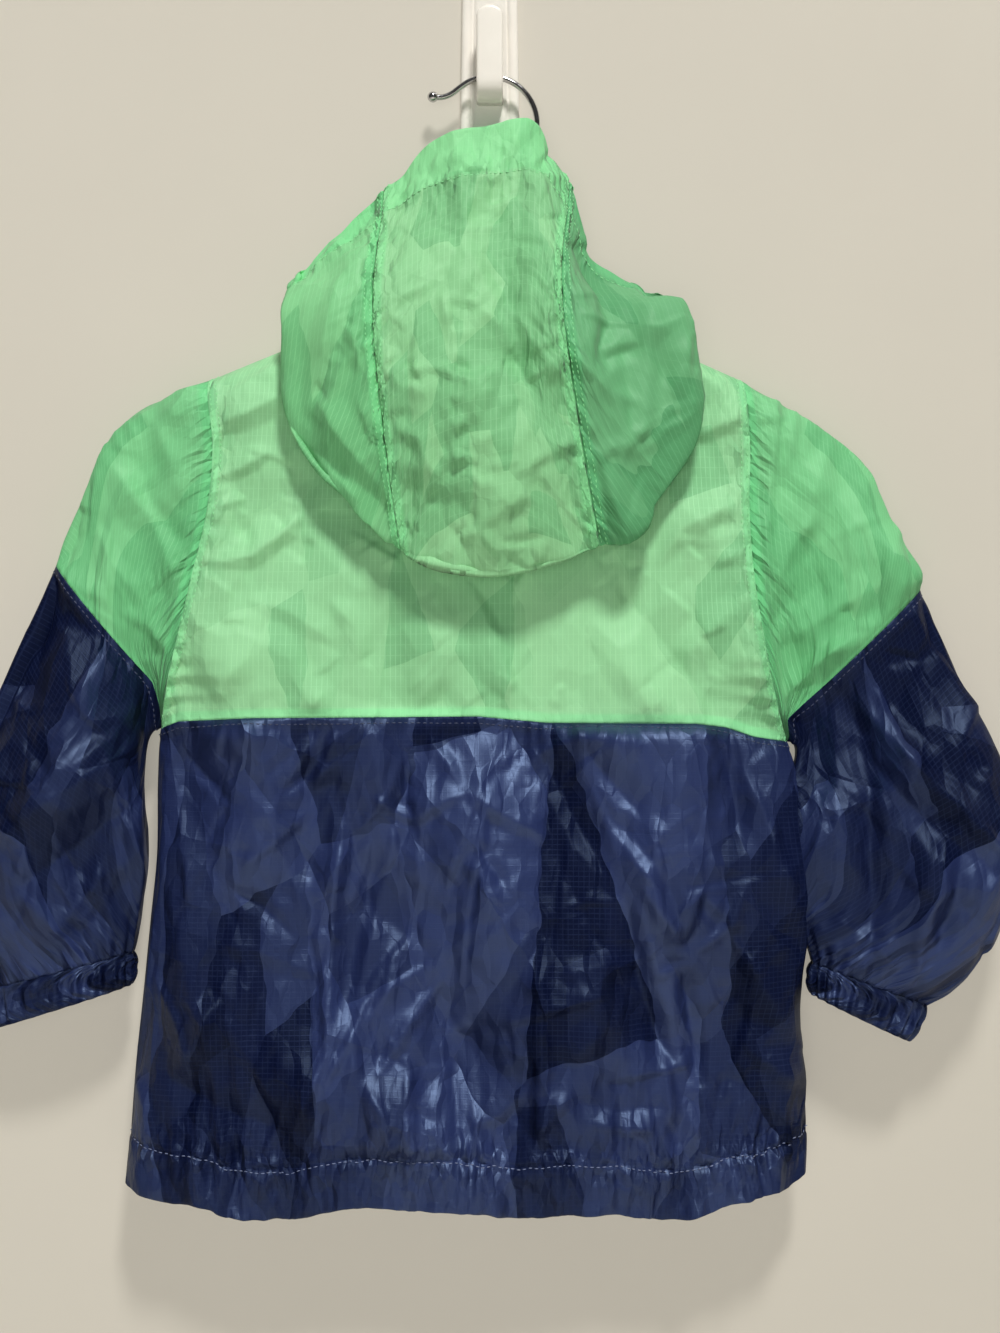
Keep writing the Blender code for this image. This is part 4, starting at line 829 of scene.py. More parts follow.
def buildPanel(name, face, part, shares, material, side=None):
    z, down = (upperHeights(face, shares), None) if part == "upper" else lowerHeights(face, shares)
    grid = towardsZip(side, shares, z) if side else shares
    x = edgeAcross("left", z) * (1 - grid) + edgeAcross("right", z) * grid
    points, normals = np.stack([x, bodyDepth(face, x, z), z], -1), bodyNormal(face, x, z)
    rows, columns = z.shape
    across, topGap = panelUv(points, columns // 2)
    fromLeft, fromRight = across - across[:, :1], across[:, -1:] - across
    sideGap = np.minimum(fromLeft * (2 if side == "right" else 1), fromRight * (2 if side == "left" else 1))
    seamGap = np.abs(z - along(body["yokeSeam"], x))
    seam, pinch = smoothStep((6 - seamGap) / 2), 0.35 * np.exp(-seamGap / 7)
    if part == "upper":
        moved = points + normals * upperRelief(face, x, z, points, normals, sideGap, topGap)[..., None]
        seam = np.maximum(seam, smoothStep((5 - sideGap) / 2))
        pinch = np.maximum(pinch, np.exp(-(sideGap / 11) ** 1.4))
    else:
        moved = points + normals * lowerRelief(face, x, z, points, normals, sideGap, down)[..., None]
        inCasing = down - panels["casingStart"]
        seam = np.maximum(seam, smoothStep(inCasing / 0.01) * 0.6)
        pinch = np.maximum(pinch, 0.9 * np.exp(-(np.abs(inCasing) * 250 / 16) ** 1.3))
        inside = turnedEdge(moved, normals, np.nonzero(inCasing[:, 0] >= 0)[0][::-1][::3], cloth["hemRadius"])
        extra = len(inside)
        moved, z = np.concatenate([moved, inside]), longer(z, extra)
        z[rows:] -= np.arange(1, extra + 1)[:, None] * 1.7
        normals, across, seam, pinch = (longer(values, extra) for values in (normals, across, seam, pinch))
    clothSheet(name, moved, np.stack([across, z], -1), seam, pinch, normals, material)
    made[name].update(outer=moved[:rows], outwards=normals[rows // 2, columns // 2])


def frontShares(side):
    # places across the back's width: close together at the side seam, and ending at the zip
    _, left, right = body["panelEdges"][0]
    sideShare = panels["sideShare"]
    zipPlace = ((-zipper["half"] if side == "left" else zipper["half"]) - left) / (right - left)
    outer = sideShare * (1 - np.cos(np.linspace(0, math.pi / 2, 9)))
    rest = np.linspace(sideShare, zipPlace if side == "left" else 1 - zipPlace, panels["frontColumns"])[1:]
    shares = np.concatenate([outer, rest])
    return shares if side == "left" else 1 - shares[::-1]


def buildBackAndFronts(yokeCloth, lowerCloth):
    shares = edgeSpread(panels["backColumns"], panels["sideShare"], 12)
    buildPanel("back_yoke", "back", "upper", shares, yokeCloth)
    buildPanel("back_lower", "back", "lower", shares, lowerCloth)
    for side in ("left", "right"):
        shares = frontShares(side)
        buildPanel(f"front_{side}_upper", "front", "upper", shares, yokeCloth, side)
        buildPanel(f"front_{side}_lower", "front", "lower", shares, lowerCloth, side)


sleeveDetail = {
    "columns": (92, 46),        # on the outside and on the side that faces the wall
    "upperColumns": (44, 84),   # in front of the crest and behind it
    "rows": {"upper": 70, "lower": 130},
    "folds": {"upper": 1.35, "lower": 1.2},
    # the same values as for the back
    "crumple": {
        "upper": ((42, 0.22, 1.7, 35), (19, 0.16, 1.6, -30)),
        "lower": ((70, 0.34, 2.1, -24), (38, 0.16, 1.8, 22)),
    },
    "stray": {
        "upper": (36, (9, 34), (5, 13), (0.5, 1.9), -40, 35),
        "lower": (50, (14, 52), (5, 14), (0.7, 2.4), -14, 30),
    },
    "armholePuckers": ((8, 0.7, 12, 0.2), (4.4, 0.3, 5, 0.0)),
    "seamPuckers": {"upper": ((10, 0.35, 9, 0.0),), "lower": ((9, 0.55, 12, 0.2),)},
    "toBody": {"left": 0.0, "right": -7.5},     # how far the inside edge leans to the body
    "seeds": {"left": 200, "right": 300},
    "gathers": 21,
    "gatherHeight": 1.5,
}
cuffDetail = {
    "rows": 12, "columns": 320,
    "wave": 1.5,
    "fullness": 1.5,
    "waist": 0.9,               # how deep the elastic's middle line sinks
    "edgeRadius": 0.8,
    "seeds": {"left": 400, "right": 450},
}


def seamTable(side):
    # station of the colour seam at each place round the armhole
    step = math.pi / 12
    angles = np.linspace(0, math.pi, 97)
    line = np.maximum(seamStations(side, angles), 0.12)
    last = sleeves["seamReach"][side] * step
    before = np.interp(last - step, angles, line)
    ramp = np.interp(angles, (last - step, last, last + step), (before, 0.3, 0.0))
    return angles, np.where(angles <= last - step, line, ramp)


def seamAt(side, angles):
    folded = np.abs((angles + math.pi) % (2 * math.pi) - math.pi)
    return np.interp(folded, *seamTable(side))


def gatherWave(angles):
    return np.cos(sleeveDetail["gathers"] * angles + 1.2 * np.sin(3 * angles))


def sleeveFolds(side, part, x, z, facing, seed):
    box, stray = (x.min(), x.max(), z.min(), z.max()), sleeveDetail["stray"][part]
    placed = folds[f"sleeve{part.title()}_{side}"]
    relief = sleeveDetail["folds"][part] * foldRelief(placed, x, z, 0.3) * facing
    if part == "upper":
        return relief + strayRelief(x, z, box, seed + 12, stray, side == "right") * facing
    relief += strayRelief(x, z, box, seed + 8, stray) * facing
    return relief + strayRelief(x, z, box, seed + 9, stray, True) * (1 - facing)


def buildLowerSleeve(side, material):
    outside, hidden = sleeveDetail["columns"]
    angles = np.concatenate([
        np.linspace(0, math.pi, outside + 1)[:-1], np.linspace(math.pi, 2 * math.pi, hidden + 1)[:-1],
    ])
    seam = seamAt(side, angles)
    rows = np.linspace(0, 1, sleeveDetail["rows"]["lower"])[:, None]
    points = sleeveSurface(side, angles, seam + (len(sleeves["sections"][side]) - seam) * rows)
    normals = ringNormals(points)
    x, z = points[..., 0], points[..., 2]
    fromTop, around = distances(points, 0), distances(np.concatenate([points, points[:, :1]], 1), 1)
    fromCuff = fromTop[-1:] - fromTop
    seed = sleeveDetail["seeds"][side]
    relief = sleeveFolds(side, "lower", x, z, smoothStep((-normals[..., 1] - 0.05) / 0.5), seed)
    rough = 0.5 + softNoise(x, z, 40, seed + 1)
    relief += crumpledSkin(points, normals, sleeveDetail["crumple"]["lower"], seed, 1.3) * rough
    inner = ((1 - np.cos(angles)) / 2) ** 8
    turned = 0.25 + 0.75 * smoothStep((np.abs(normals[..., 1]) - 0.15) / 0.5)
    relief *= away(fromTop, 6) * away(fromCuff, 10) * (1 - 0.75 * inner) * turned
    relief += puckers(around[:, :-1], fromTop, sleeveDetail["seamPuckers"]["lower"], seed + 5)
    fade = np.exp(-fromCuff / 16) * (1 - 0.5 * np.exp(-fromCuff / 2))
    relief += sleeveDetail["gatherHeight"] * gatherWave(angles) * fade
    moved = points + normals * relief[..., None]
    free = smoothStep(fromTop / 30) * smoothStep(fromCuff / 25)
    moved[..., 0] += sleeveDetail["toBody"][side] * inner * free
    uv = np.stack([around, -np.concatenate([fromTop, fromTop[:, :1]], 1) - 100], -1)
    mark = smoothStep((6 - fromTop) / 2)
    pinch = np.maximum(0.6 * np.exp(-fromTop / 10), np.exp(-fromCuff / 16))
    name = f"sleeve_{side}_lower"
    clothSheet(name, moved, uv, mark, pinch, normals, material, ring=True)
    made[name].update(outer=moved, outwards=normals[40, outside // 2])


def buildUpperSleeve(side, material):
    before, behind = sleeveDetail["upperColumns"]
    crest = before - 1
    last = (sleeves["seamReach"][side] + 1) * math.pi / 12 - 0.012
    angles = np.concatenate([np.linspace(-last, 0, before)[:-1], np.linspace(0, last, behind)])
    rows = np.linspace(0, 1, sleeveDetail["rows"]["upper"])[:, None]
    points = sleeveSurface(side, angles, np.maximum(seamAt(side, angles), 0.02) * rows)
    normals = gridNormals(points, np.array([-0.3 if side == "left" else 0.3, -0.05, 1.0]))
    if normals[:, crest + 17, 1].sum() > 0:     # the outside faces the room
        normals = -normals
    x, z = points[..., 0], points[..., 2]
    across, down = distances(points, 1), distances(points, 0)
    across = across - across[:, crest:crest + 1]
    low = np.maximum(down[-1:] - down, 0)
    still = away(down, 6) * away(low, 5)
    seed = sleeveDetail["seeds"][side]
    relief = sleeveFolds(side, "upper", x, z, smoothStep((-normals[..., 1] - 0.05) / 0.5), seed) * still
    rough = 0.4 + 1.2 * softNoise(x, z, 36, seed + 2) ** 1.5
    relief += crumpledSkin(points, normals, sleeveDetail["crumple"]["upper"], seed + 60, 1.3) * rough * still
    relief += puckers(across, down, sleeveDetail["armholePuckers"], seed + 66) * away(low, 3)
    relief += puckers(across, low, sleeveDetail["seamPuckers"]["upper"], seed + 68) * away(down, 6)
    moved = points + normals * relief[..., None]
    mark = np.maximum(smoothStep((6 - down) / 2), smoothStep((3 - low) / 2) * 0.5)
    pinch = np.maximum(np.exp(-(down / 11) ** 1.4), 0.4 * np.exp(-low / 8))
    name = f"sleeve_{side}_upper"
    clothSheet(name, moved, np.stack([across, -down], -1), mark, pinch, normals, material)
    made[name].update(outer=moved, outwards=normals[30, 90])


def buildCuff(side, material):
    count, rows = cuffDetail["columns"], cuffDetail["rows"]
    angles = np.arange(count) * 2 * math.pi / count
    start = sectionRing(sleeves["sections"][side][-1], angles)
    finish = sectionRing(sleeves["cuffEnds"][side], angles)
    share = np.linspace(0, 1, rows)[:, None]
    points = start + (finish - start) * share[..., None]
    normals = ringNormals(points)
    swell = np.sin(math.pi * share)
    gather = gatherWave(angles)
    pleats = np.sign(gather) * np.abs(gather) ** 0.8
    uneven = 0.75 + 0.5 * softNoise(angles * 40, angles * 0, 14, cuffDetail["seeds"][side])
    relief = cuffDetail["wave"] * (0.55 + 0.45 * swell) * pleats * uneven
    relief += cuffDetail["fullness"] * swell ** 0.7 + 0.35 * np.cos(43 * angles + 2) * swell
    relief -= cuffDetail["waist"] * np.exp(-((share - 0.5) / 0.12) ** 2)
    moved = points + normals * (relief * (0.35 + 0.65 * smoothStep(share / 0.12)))[..., None]
    inside = turnedEdge(moved, normals, range(rows - 1, -1, -2), cuffDetail["edgeRadius"])
    whole = np.concatenate([moved, inside])
    around = distances(np.concatenate([whole, whole[:, :1]], 1), 1)
    down = np.arange(len(whole))[:, None] * 2.0 + 0 * around
    name = f"cuff_{side}"
    clothSheet(name, whole, np.stack([around, -down], -1), 0.3, 0.5, longer(normals, len(inside)), material,
               ring=True)
    made[name].update(outer=moved, outwards=normals[6, count // 4])


hoodDetail = {
    "centreColumns": 96, "sideColumns": 92,
    "rows": (140, 30),          # down to the fold, and up to the neck seam
    "foldShare": 0.62,          # where along a rib the fold is
    "lobeShare": 0.64,          # where round the neck a side panel turns to the front
    "folds": 1.3,
    # the same values as for the back
    "crumple": {
        "centre": ((40, 0.28, 1.8, 10), (18, 0.20, 1.5, -25)),
        "side": ((44, 0.32, 2.0, 15), (20, 0.14, 1.6, -20)),
    },
    "stray": {
        "centre": (110, (7, 26), (4, 10), (0.6, 2.1), 35, 45),
        "side": (50, (10, 44), (5, 14), (0.6, 2.0), 15, 40),
    },
    "strayHeights": (-300, -60),
    "seamPuckers": ((10, 1.1, 12, 0.2), (4.6, 0.6, 5, 0.0)),
    "casingPuckers": ((8, 0.8, 9, 0.0),),
    "edgeRadius": 0.8,
    "cornerDrop": 15,           # how far the right corner of the opening sinks behind its side panel
}


def hoodRelief(k, part, x, z, points, normals, across, fall, seamGap, share):
    facing = smoothStep((-normals[..., 1] - 0.02) / 0.4)
    outside = smoothStep((0.66 - share) / 0.06)
    casingGap = np.abs(share - hood["casing"]) * fall[-1:]
    box = (x.min(), x.max(), *hoodDetail["strayHeights"])
    relief = hoodDetail["folds"] * foldRelief(folds["hood"], x, z, 0.3)
    relief += strayRelief(x, z, box, 640 + k, hoodDetail["stray"][part])
    relief *= facing * outside * away(seamGap, 4)
    rough = 0.35 + 1.2 * softNoise(x, z, 30, 77) ** 1.5
    quiet = away(seamGap, 5) * away(fall[-1:] - fall, 12) * (0.3 + 0.7 * outside) * away(casingGap, 2.5)
    relief += crumpledSkin(points, normals, hoodDetail["crumple"][part], 600 + 40 * k) * rough * quiet
    relief += puckers(fall, seamGap, hoodDetail["seamPuckers"], 700 + k, 10) * outside
    relief += puckers(across, casingGap, hoodDetail["casingPuckers"], 720 + k) * outside * away(seamGap, 3)
    relief -= 0.25 * np.exp(-(casingGap / 1.3) ** 2) * away(seamGap, 3)
    lumps = 0.25 + 1.3 * softNoise(fall, seamGap, 6, 730 + k)
    return relief + 0.75 * lumps * (1 - np.exp(-seamGap / 0.6)) * smoothStep((5.5 - seamGap) / 1.0)


def buildHoodPanel(k, name, place, shares, material):
    step = 0.004
    points = hoodSurface(place, shares)
    below, above = (hoodSurface(place, np.clip(shares + move, 0, 1)) for move in (step, -step))
    ahead, behind = (hoodSurface(np.clip(place + move, -1, 1), shares) for move in (step, -step))
    normals = unit(np.cross(below - above, ahead - behind))
    middle = len(place) // 2
    across, fall = distances(points, 1), distances(points, 0)
    across = across - across[:, middle:middle + 1]
    fromLeft, fromRight = across - across[:, :1], across[:, -1:] - across
    nearest = np.minimum(fromLeft, fromRight)
    seamGap = {"hood_left": fromRight, "hood_centre": nearest, "hood_right": fromLeft}[name]
    x, z = points[..., 0], points[..., 2]
    share = np.broadcast_to(shares[:, None], x.shape)
    part = "centre" if name == "hood_centre" else "side"
    relief = hoodRelief(k, part, x, z, points, normals, across, fall, seamGap, share)
    moved = points + normals * relief[..., None]
    if name == "hood_right":
        sunk = smoothStep((moved[..., 0] - 78) / 18) * smoothStep((0.22 - share) / 0.13)
        moved[..., 2] -= hoodDetail["cornerDrop"] * sunk
    casingGap = np.abs(share - hood["casing"]) * fall[-1:]
    mark = np.maximum(smoothStep((6 - seamGap) / 2), 0.9 * (share < hood["casing"]))
    pinch = np.maximum(np.exp(-(seamGap / 9) ** 1.4), 0.8 * np.exp(-(casingGap / 8) ** 1.3))
    turned = np.nonzero(shares <= hood["casing"])[0]
    inside = turnedEdge(moved[::-1], normals[::-1], (len(shares) - 1 - turned)[::3], hoodDetail["edgeRadius"])
    extra = len(inside)
    across, fall, mark, pinch, outward = (
        longer(values, extra, atStart=True) for values in (across, fall, mark, pinch, normals)
    )
    fall[:extra] -= np.arange(extra, 0, -1)[:, None] * 1.6
    whole = np.concatenate([inside[::-1], moved])
    clothSheet(name, whole, np.stack([across, -fall], -1), mark, pinch, outward, material,
               "back_yoke_cloth")
    made[name].update(outer=moved, outwards=normals[60, middle])


def buildHood(cloths):
    first, second = hoodDetail["rows"]
    fold, lobe, seam = hoodDetail["foldShare"], hoodDetail["lobeShare"], hood["seamPlace"]
    shares = np.concatenate([np.linspace(0, fold, first), np.linspace(fold, 1, second)[1:]])
    turned = hoodDetail["sideColumns"] - 61
    lobes = np.concatenate([np.linspace(seam, lobe, 62), np.linspace(lobe, 1, turned)[1:]])
    places = {
        "hood_left": -lobes[::-1],
        "hood_centre": np.linspace(-seam, seam, hoodDetail["centreColumns"]),
        "hood_right": lobes,
    }
    for k, (name, place) in enumerate(places.items()):
        buildHoodPanel(k, name, place, shares, cloths[k])


def addNode(tree, kind, inputs=None, **settings):
    node = tree.nodes.new(kind)
    for key, value in settings.items():
        setattr(node, key, value)
    for key, value in (inputs or {}).items():
        if isinstance(value, bpy.types.NodeSocket):
            tree.links.new(value, node.inputs[key])
        else:
            node.inputs[key].default_value = value
    return node


def calc(tree, operation, *values):
    return addNode(tree, "ShaderNodeMath", dict(enumerate(values)), operation=operation).outputs[0]


def product(tree, first, *others):
    for other in others:
        first = calc(tree, "MULTIPLY", first, other)
    return first


def total(tree, first, *others):
    for other in others:
        first = calc(tree, "ADD", first, other)
    return first


def vectorMath(tree, operation, *values):
    return addNode(tree, "ShaderNodeVectorMath", dict(enumerate(values)), operation=operation).outputs[0]


def scaled(tree, vector, scale):
    return addNode(tree, "ShaderNodeVectorMath", {0: vector, "Scale": scale}, operation="SCALE").outputs[0]


def noiseAt(tree, place, scale, detail):
    return addNode(tree, "ShaderNodeTexNoise", {"Vector": place, "Scale": scale, "Detail": detail}).outputs


def remap(tree, value, low, high, toLow, toHigh, **settings):
    return addNode(tree, "ShaderNodeMapRange", {
        "Value": value, "From Min": low, "From Max": high, "To Min": toLow, "To Max": toHigh,
    }, **settings).outputs[0]


def mixColour(tree, share, first, second):
    return addNode(tree, "ShaderNodeMix", {0: share, 6: first, 7: second}, data_type="RGBA").outputs[2]


def newGroup(name, inputs, outputs):
    tree = bpy.data.node_groups.new(name, "ShaderNodeTree")
    for label, value in inputs.items():
        socket = tree.interface.new_socket(label, in_out="INPUT", socket_type="NodeSocketFloat")
        socket.default_value = value
    for label in outputs:
        tree.interface.new_socket(label, in_out="OUTPUT", socket_type="NodeSocketFloat")
    return tree, tree.nodes.new("NodeGroupInput").outputs, tree.nodes.new("NodeGroupOutput").inputs


def clothPlace(tree):
    # the cloth's own flat coordinates, in millimetres
    return scaled(tree, addNode(tree, "ShaderNodeUVMap", uv_map="clothUv").outputs[0], 1000.0)


def makeWeaveGroup():
    # ripstop: a grid of thicker threads over a fine plain weave; sizes in millimetres, height in metres
    tree, given, result = newGroup("ripstopWeave", {
        "Down Spacing": 2.8, "Across Spacing": 2.8, "Thread": 0.35, "Down Strength": 1, "Across Strength": 0.4,
    }, ("Threads", "Height"))
    place = clothPlace(tree)
    split = addNode(tree, "ShaderNodeSeparateXYZ", {0: place}).outputs
    patch = noiseAt(tree, place, 0.05, 3.0)[0]
    streak = noiseAt(tree, vectorMath(tree, "MULTIPLY", place, (1.2, 0.07, 1.0)), 1.0, 2.0)[0]
    lines = []
    for axis, way, fade in ((0, "Down", streak), (1, "Across", patch)):
        distance = calc(tree, "PINGPONG", split[axis], product(tree, given[way + " Spacing"], 0.5))
        line = remap(tree, distance, 0.0, given["Thread"], 1.0, 0.0, interpolation_type="SMOOTHSTEP")
        lines.append(product(tree, line, given[way + " Strength"], fade, 1.7))
    threads = calc(tree, "MAXIMUM", *lines)
    fine = product(tree, *(calc(tree, "SINE", product(tree, split[axis], 14.0)) for axis in (0, 1)))
    grain = noiseAt(tree, vectorMath(tree, "MULTIPLY", place, (0.35, 2.2, 1.0)), 1.0, 2.0)[0]
    fine = total(tree, fine, product(tree, grain, 9.0))
    tree.links.new(calc(tree, "MINIMUM", threads, 1.0), result["Threads"])
    height = total(tree, product(tree, threads, 0.00005), product(tree, fine, 0.000006))
    tree.links.new(height, result["Height"])
    return tree


def makeWrinkleGroup():
    # small creases left by handling, in patches; sizes in millimetres, height out in metres
    tree, given, result = newGroup(
        "clothWrinkles", {"Size": 7.0, "Height": 0.25, "Coverage": 0.5}, ("Height", "Patches"))
    place = clothPlace(tree)
    turned = addNode(tree, "ShaderNodeMapping", {"Vector": place, "Rotation": (0, 0, 0.5)}).outputs[0]
    sway = noiseAt(tree, turned, 0.06, 1.0)[1]
    bent = vectorMath(tree, "MULTIPLY_ADD", sway, (9.0, 9.0, 9.0), turned)
    scale = calc(tree, "DIVIDE", 1.0, given["Size"])
    ridges = []
    for step, weight in ((1.0, 1.0), (2.3, 0.4)):
        noise = addNode(tree, "ShaderNodeTexNoise", {
            "Vector": bent, "Scale": product(tree, scale, step), "Detail": 0.5, "Roughness": 0.4}).outputs[0]
        fold = calc(tree, "ABSOLUTE", calc(tree, "SUBTRACT", noise, 0.5))
        ridges.append(product(tree, fold, -2.0 * weight))
    low, high = (calc(tree, "SUBTRACT", end, given["Coverage"]) for end in (0.85, 1.05))
    mask = remap(tree, noiseAt(tree, place, 0.028, 2.0)[0], low, high, 0.15, 1.0)
    tree.links.new(product(tree, total(tree, *ridges), given["Height"], 0.001, mask), result["Height"])
    tree.links.new(mask, result["Patches"])
    return tree


def makeFacetGroup():
    # flat facets between crisp creases, as in a crushed sheet: sizes in millimetres, height in metres
    tree, given, result = newGroup(
        "crushedFacets", {"Size": 10.0, "Slope": 0.12, "Bend": 6.0}, ("Height", "Patch", "Crease"))
    place = clothPlace(tree)
    bent = vectorMath(tree, "ADD", place, scaled(tree, noiseAt(tree, place, 0.05, 1.0)[1], given["Bend"]))
    turned = addNode(tree, "ShaderNodeMapping", {
        "Vector": bent, "Rotation": (0, 0, 0.35), "Scale": (1.0, 0.46, 1.0)}).outputs[0]
    share = calc(tree, "DIVIDE", 1.0, given["Size"])
    squares = []
    for shift in (0.0, 61.7):
        spot = {"Vector": vectorMath(tree, "ADD", turned, (shift, shift * 2, 0)), "Scale": share}
        cells = addNode(tree, "ShaderNodeTexVoronoi", spot, voronoi_dimensions="2D").outputs
        squares.append(calc(tree, "POWER", cells["Distance"], 2.0))
    height = product(tree, calc(tree, "SUBTRACT", *squares), given["Slope"], given["Size"], 0.0005)
    tree.links.new(height, result["Height"])
    # the Patch tone, used as painted facet light and shade, and the crease lines follow the second set of cells
    tree.links.new(addNode(tree, "ShaderNodeSeparateColor", {0: cells["Color"]}).outputs[0], result["Patch"])
    edge = addNode(tree, "ShaderNodeTexVoronoi", spot, voronoi_dimensions="2D", feature="DISTANCE_TO_EDGE")
    line = calc(tree, "EXPONENT", product(tree, edge.outputs["Distance"], given["Size"], -0.75))
    fade = remap(tree, noiseAt(tree, place, 0.035, 2.0)[0], 0.42, 0.60, 0.1, 1.0)
    tree.links.new(product(tree, line, fade), result["Crease"])
    return tree


def makeDriftGroup():
    # slow unevenness on anything, from its own coordinates
    tree, given, result = newGroup("surfaceDrift", {"Size": 30.0, "Detail": 3.0}, ("Drift",))
    place = addNode(tree, "ShaderNodeTexCoord").outputs["Object"]
    noise = noiseAt(tree, place, calc(tree, "DIVIDE", 1000.0, given["Size"]), given["Detail"])
    tree.links.new(noise[0], result["Drift"])
    return tree


groups = {}


def placeGroup(tree, name, **values):
    node = tree.nodes.new("ShaderNodeGroup")
    node.node_tree = groups[name]
    for key, value in values.items():
        node.inputs[key.replace("_", " ")].default_value = value
    return node.outputs


def newMaterial(name, constants):
    material = bpy.data.materials.new(name)
    material.use_nodes = True
    shader = material.node_tree.nodes["Principled BSDF"]
    for key, value in constants.items():
        shader.inputs[key].default_value = value
    return material, material.node_tree, shader


def feed(tree, shader, height, sockets):
    bump = addNode(tree, "ShaderNodeBump", {"Height": height, "Strength": 1.0, "Distance": 1.0})
    for label, value in {**sockets, "Normal": bump.outputs[0]}.items():
        tree.links.new(value, shader.inputs[label])


def weaveOf(down, across, thread, downStrength, acrossStrength):
    return {
        "Down_Spacing": down, "Across_Spacing": across, "Thread": thread, "Down_Strength": downStrength,
        "Across_Strength": acrossStrength,
    }


def wrinklesOf(size, height, coverage):
    return {"Size": size, "Height": height, "Coverage": coverage}


def greenShades(red, green, blue):
    # the first two colours paint shaded and lit facets; the last one paints shade on the darker patches and in
    # the ruffles at seams
    shades = {
        "shadedFacet": (0.235, 0.535, 0.270), "litFacet": (0.290, 0.610, 0.320), "thread": (0.40, 0.76, 0.44),
        "seam": (0.245, 0.72, 0.335), "paintedShade": (0.135, 0.410, 0.190),
    }
    return {key: (shade[0] * red, shade[1] * green, shade[2] * blue, 1) for key, shade in shades.items()}


greenShared = {
    "weave": weaveOf(2.8, 5.6, 0.36, 0.9, 0.4), "roughness": (0.50, 0.60), "shine": (0.14, 0.24),
    "constants": {"Sheen Weight": 0.06, "Sheen Roughness": 0.4},
}
hoodSide = {
    **greenShared, "wrinkles": wrinklesOf(5.0, 0.03, 0.4), "crease": 0.32, "threadShare": 0.45,
    "patches": (56.0, 0.24, 0.57, 0.62, 0.42), "facets": ((24.0, 0.26), (8.0, 0.18)), "ruffle": (4.6, 0.9),
}
nylonLooks = {
    # patches: size, slope, where on the scale of painted facet light the painted shade starts and is full, and
    # its strength;
    # facets and ruffle: size and slope; crease: height of the lines between facets;
    # shine: the specular level of the facets painted as shaded (dull) and of those painted as lit (shiny)
    "yokeGreenNylon": {
        **greenShared, **greenShades(1.04, 1.05, 1.04), "wrinkles": wrinklesOf(6.0, 0.03, 0.45), "crease": 0.20,
        "patches": (64.0, 0.14, 0.58, 0.63, 0.32), "facets": ((24.0, 0.16), (8.0, 0.12)), "ruffle": (4.6, 0.8),
        "threadShare": 0.55,
    },
    "hoodGreenNylon": {
        **greenShared, **greenShades(0.92, 0.96, 0.90), "wrinkles": wrinklesOf(5.0, 0.04, 0.55), "crease": 0.30,
        "patches": (40.0, 0.20, 0.56, 0.61, 0.42), "facets": ((15.0, 0.30), (6.0, 0.24)), "ruffle": (4.2, 0.95),
        "threadShare": 0.5,
    },
    # the side panels come as a lit and a shaded copy: the left lobe painted lighter, as if lit through from
    # behind, the right one painted darker as shade
    "hoodLeftLitNylon": {**hoodSide, **greenShades(0.78, 0.96, 0.84)},
    "hoodRightShadedNylon": {**hoodSide, **greenShades(0.47, 0.65, 0.57)},
    "sleeveGreenNylon": {
        **greenShared, **greenShades(0.68, 0.92, 0.80), "wrinkles": wrinklesOf(6.0, 0.03, 0.45), "crease": 0.26,
        "patches": (60.0, 0.20, 0.57, 0.62, 0.40), "facets": ((24.0, 0.22), (8.0, 0.14)), "ruffle": (4.6, 0.85),
        "threadShare": 0.5, "weave": weaveOf(5.6, 2.8, 0.36, 0.35, 0.9),
    },
    "navyNylon": {
        # the first two colours paint shaded and lit facets; the last one paints shade on the darker patches and
        # in the ruffles at seams
        "shadedFacet": (0.0012, 0.0030, 0.020, 1), "litFacet": (0.0150, 0.0245, 0.098, 1),
        "thread": (0.024, 0.037, 0.105, 1), "seam": (0.011, 0.018, 0.062, 1),
        "paintedShade": (0.0014, 0.0034, 0.024, 1),
        "weave": weaveOf(2.8, 2.8, 0.36, 0.6, 0.8), "wrinkles": wrinklesOf(5.0, 0.04, 0.6), "crease": 0.42,
        "patches": (64.0, 0.50, 0.50, 0.64, 0.34), "facets": ((32.0, 0.46), (9.0, 0.26)), "ruffle": (4.8, 0.9),
        "threadShare": 0.45, "roughness": (0.40, 0.50), "shine": (0.28, 1.25),
        "constants": {"Specular Tint": (0.46, 0.64, 1.0, 1), "Sheen Weight": 0.0},
    },
}


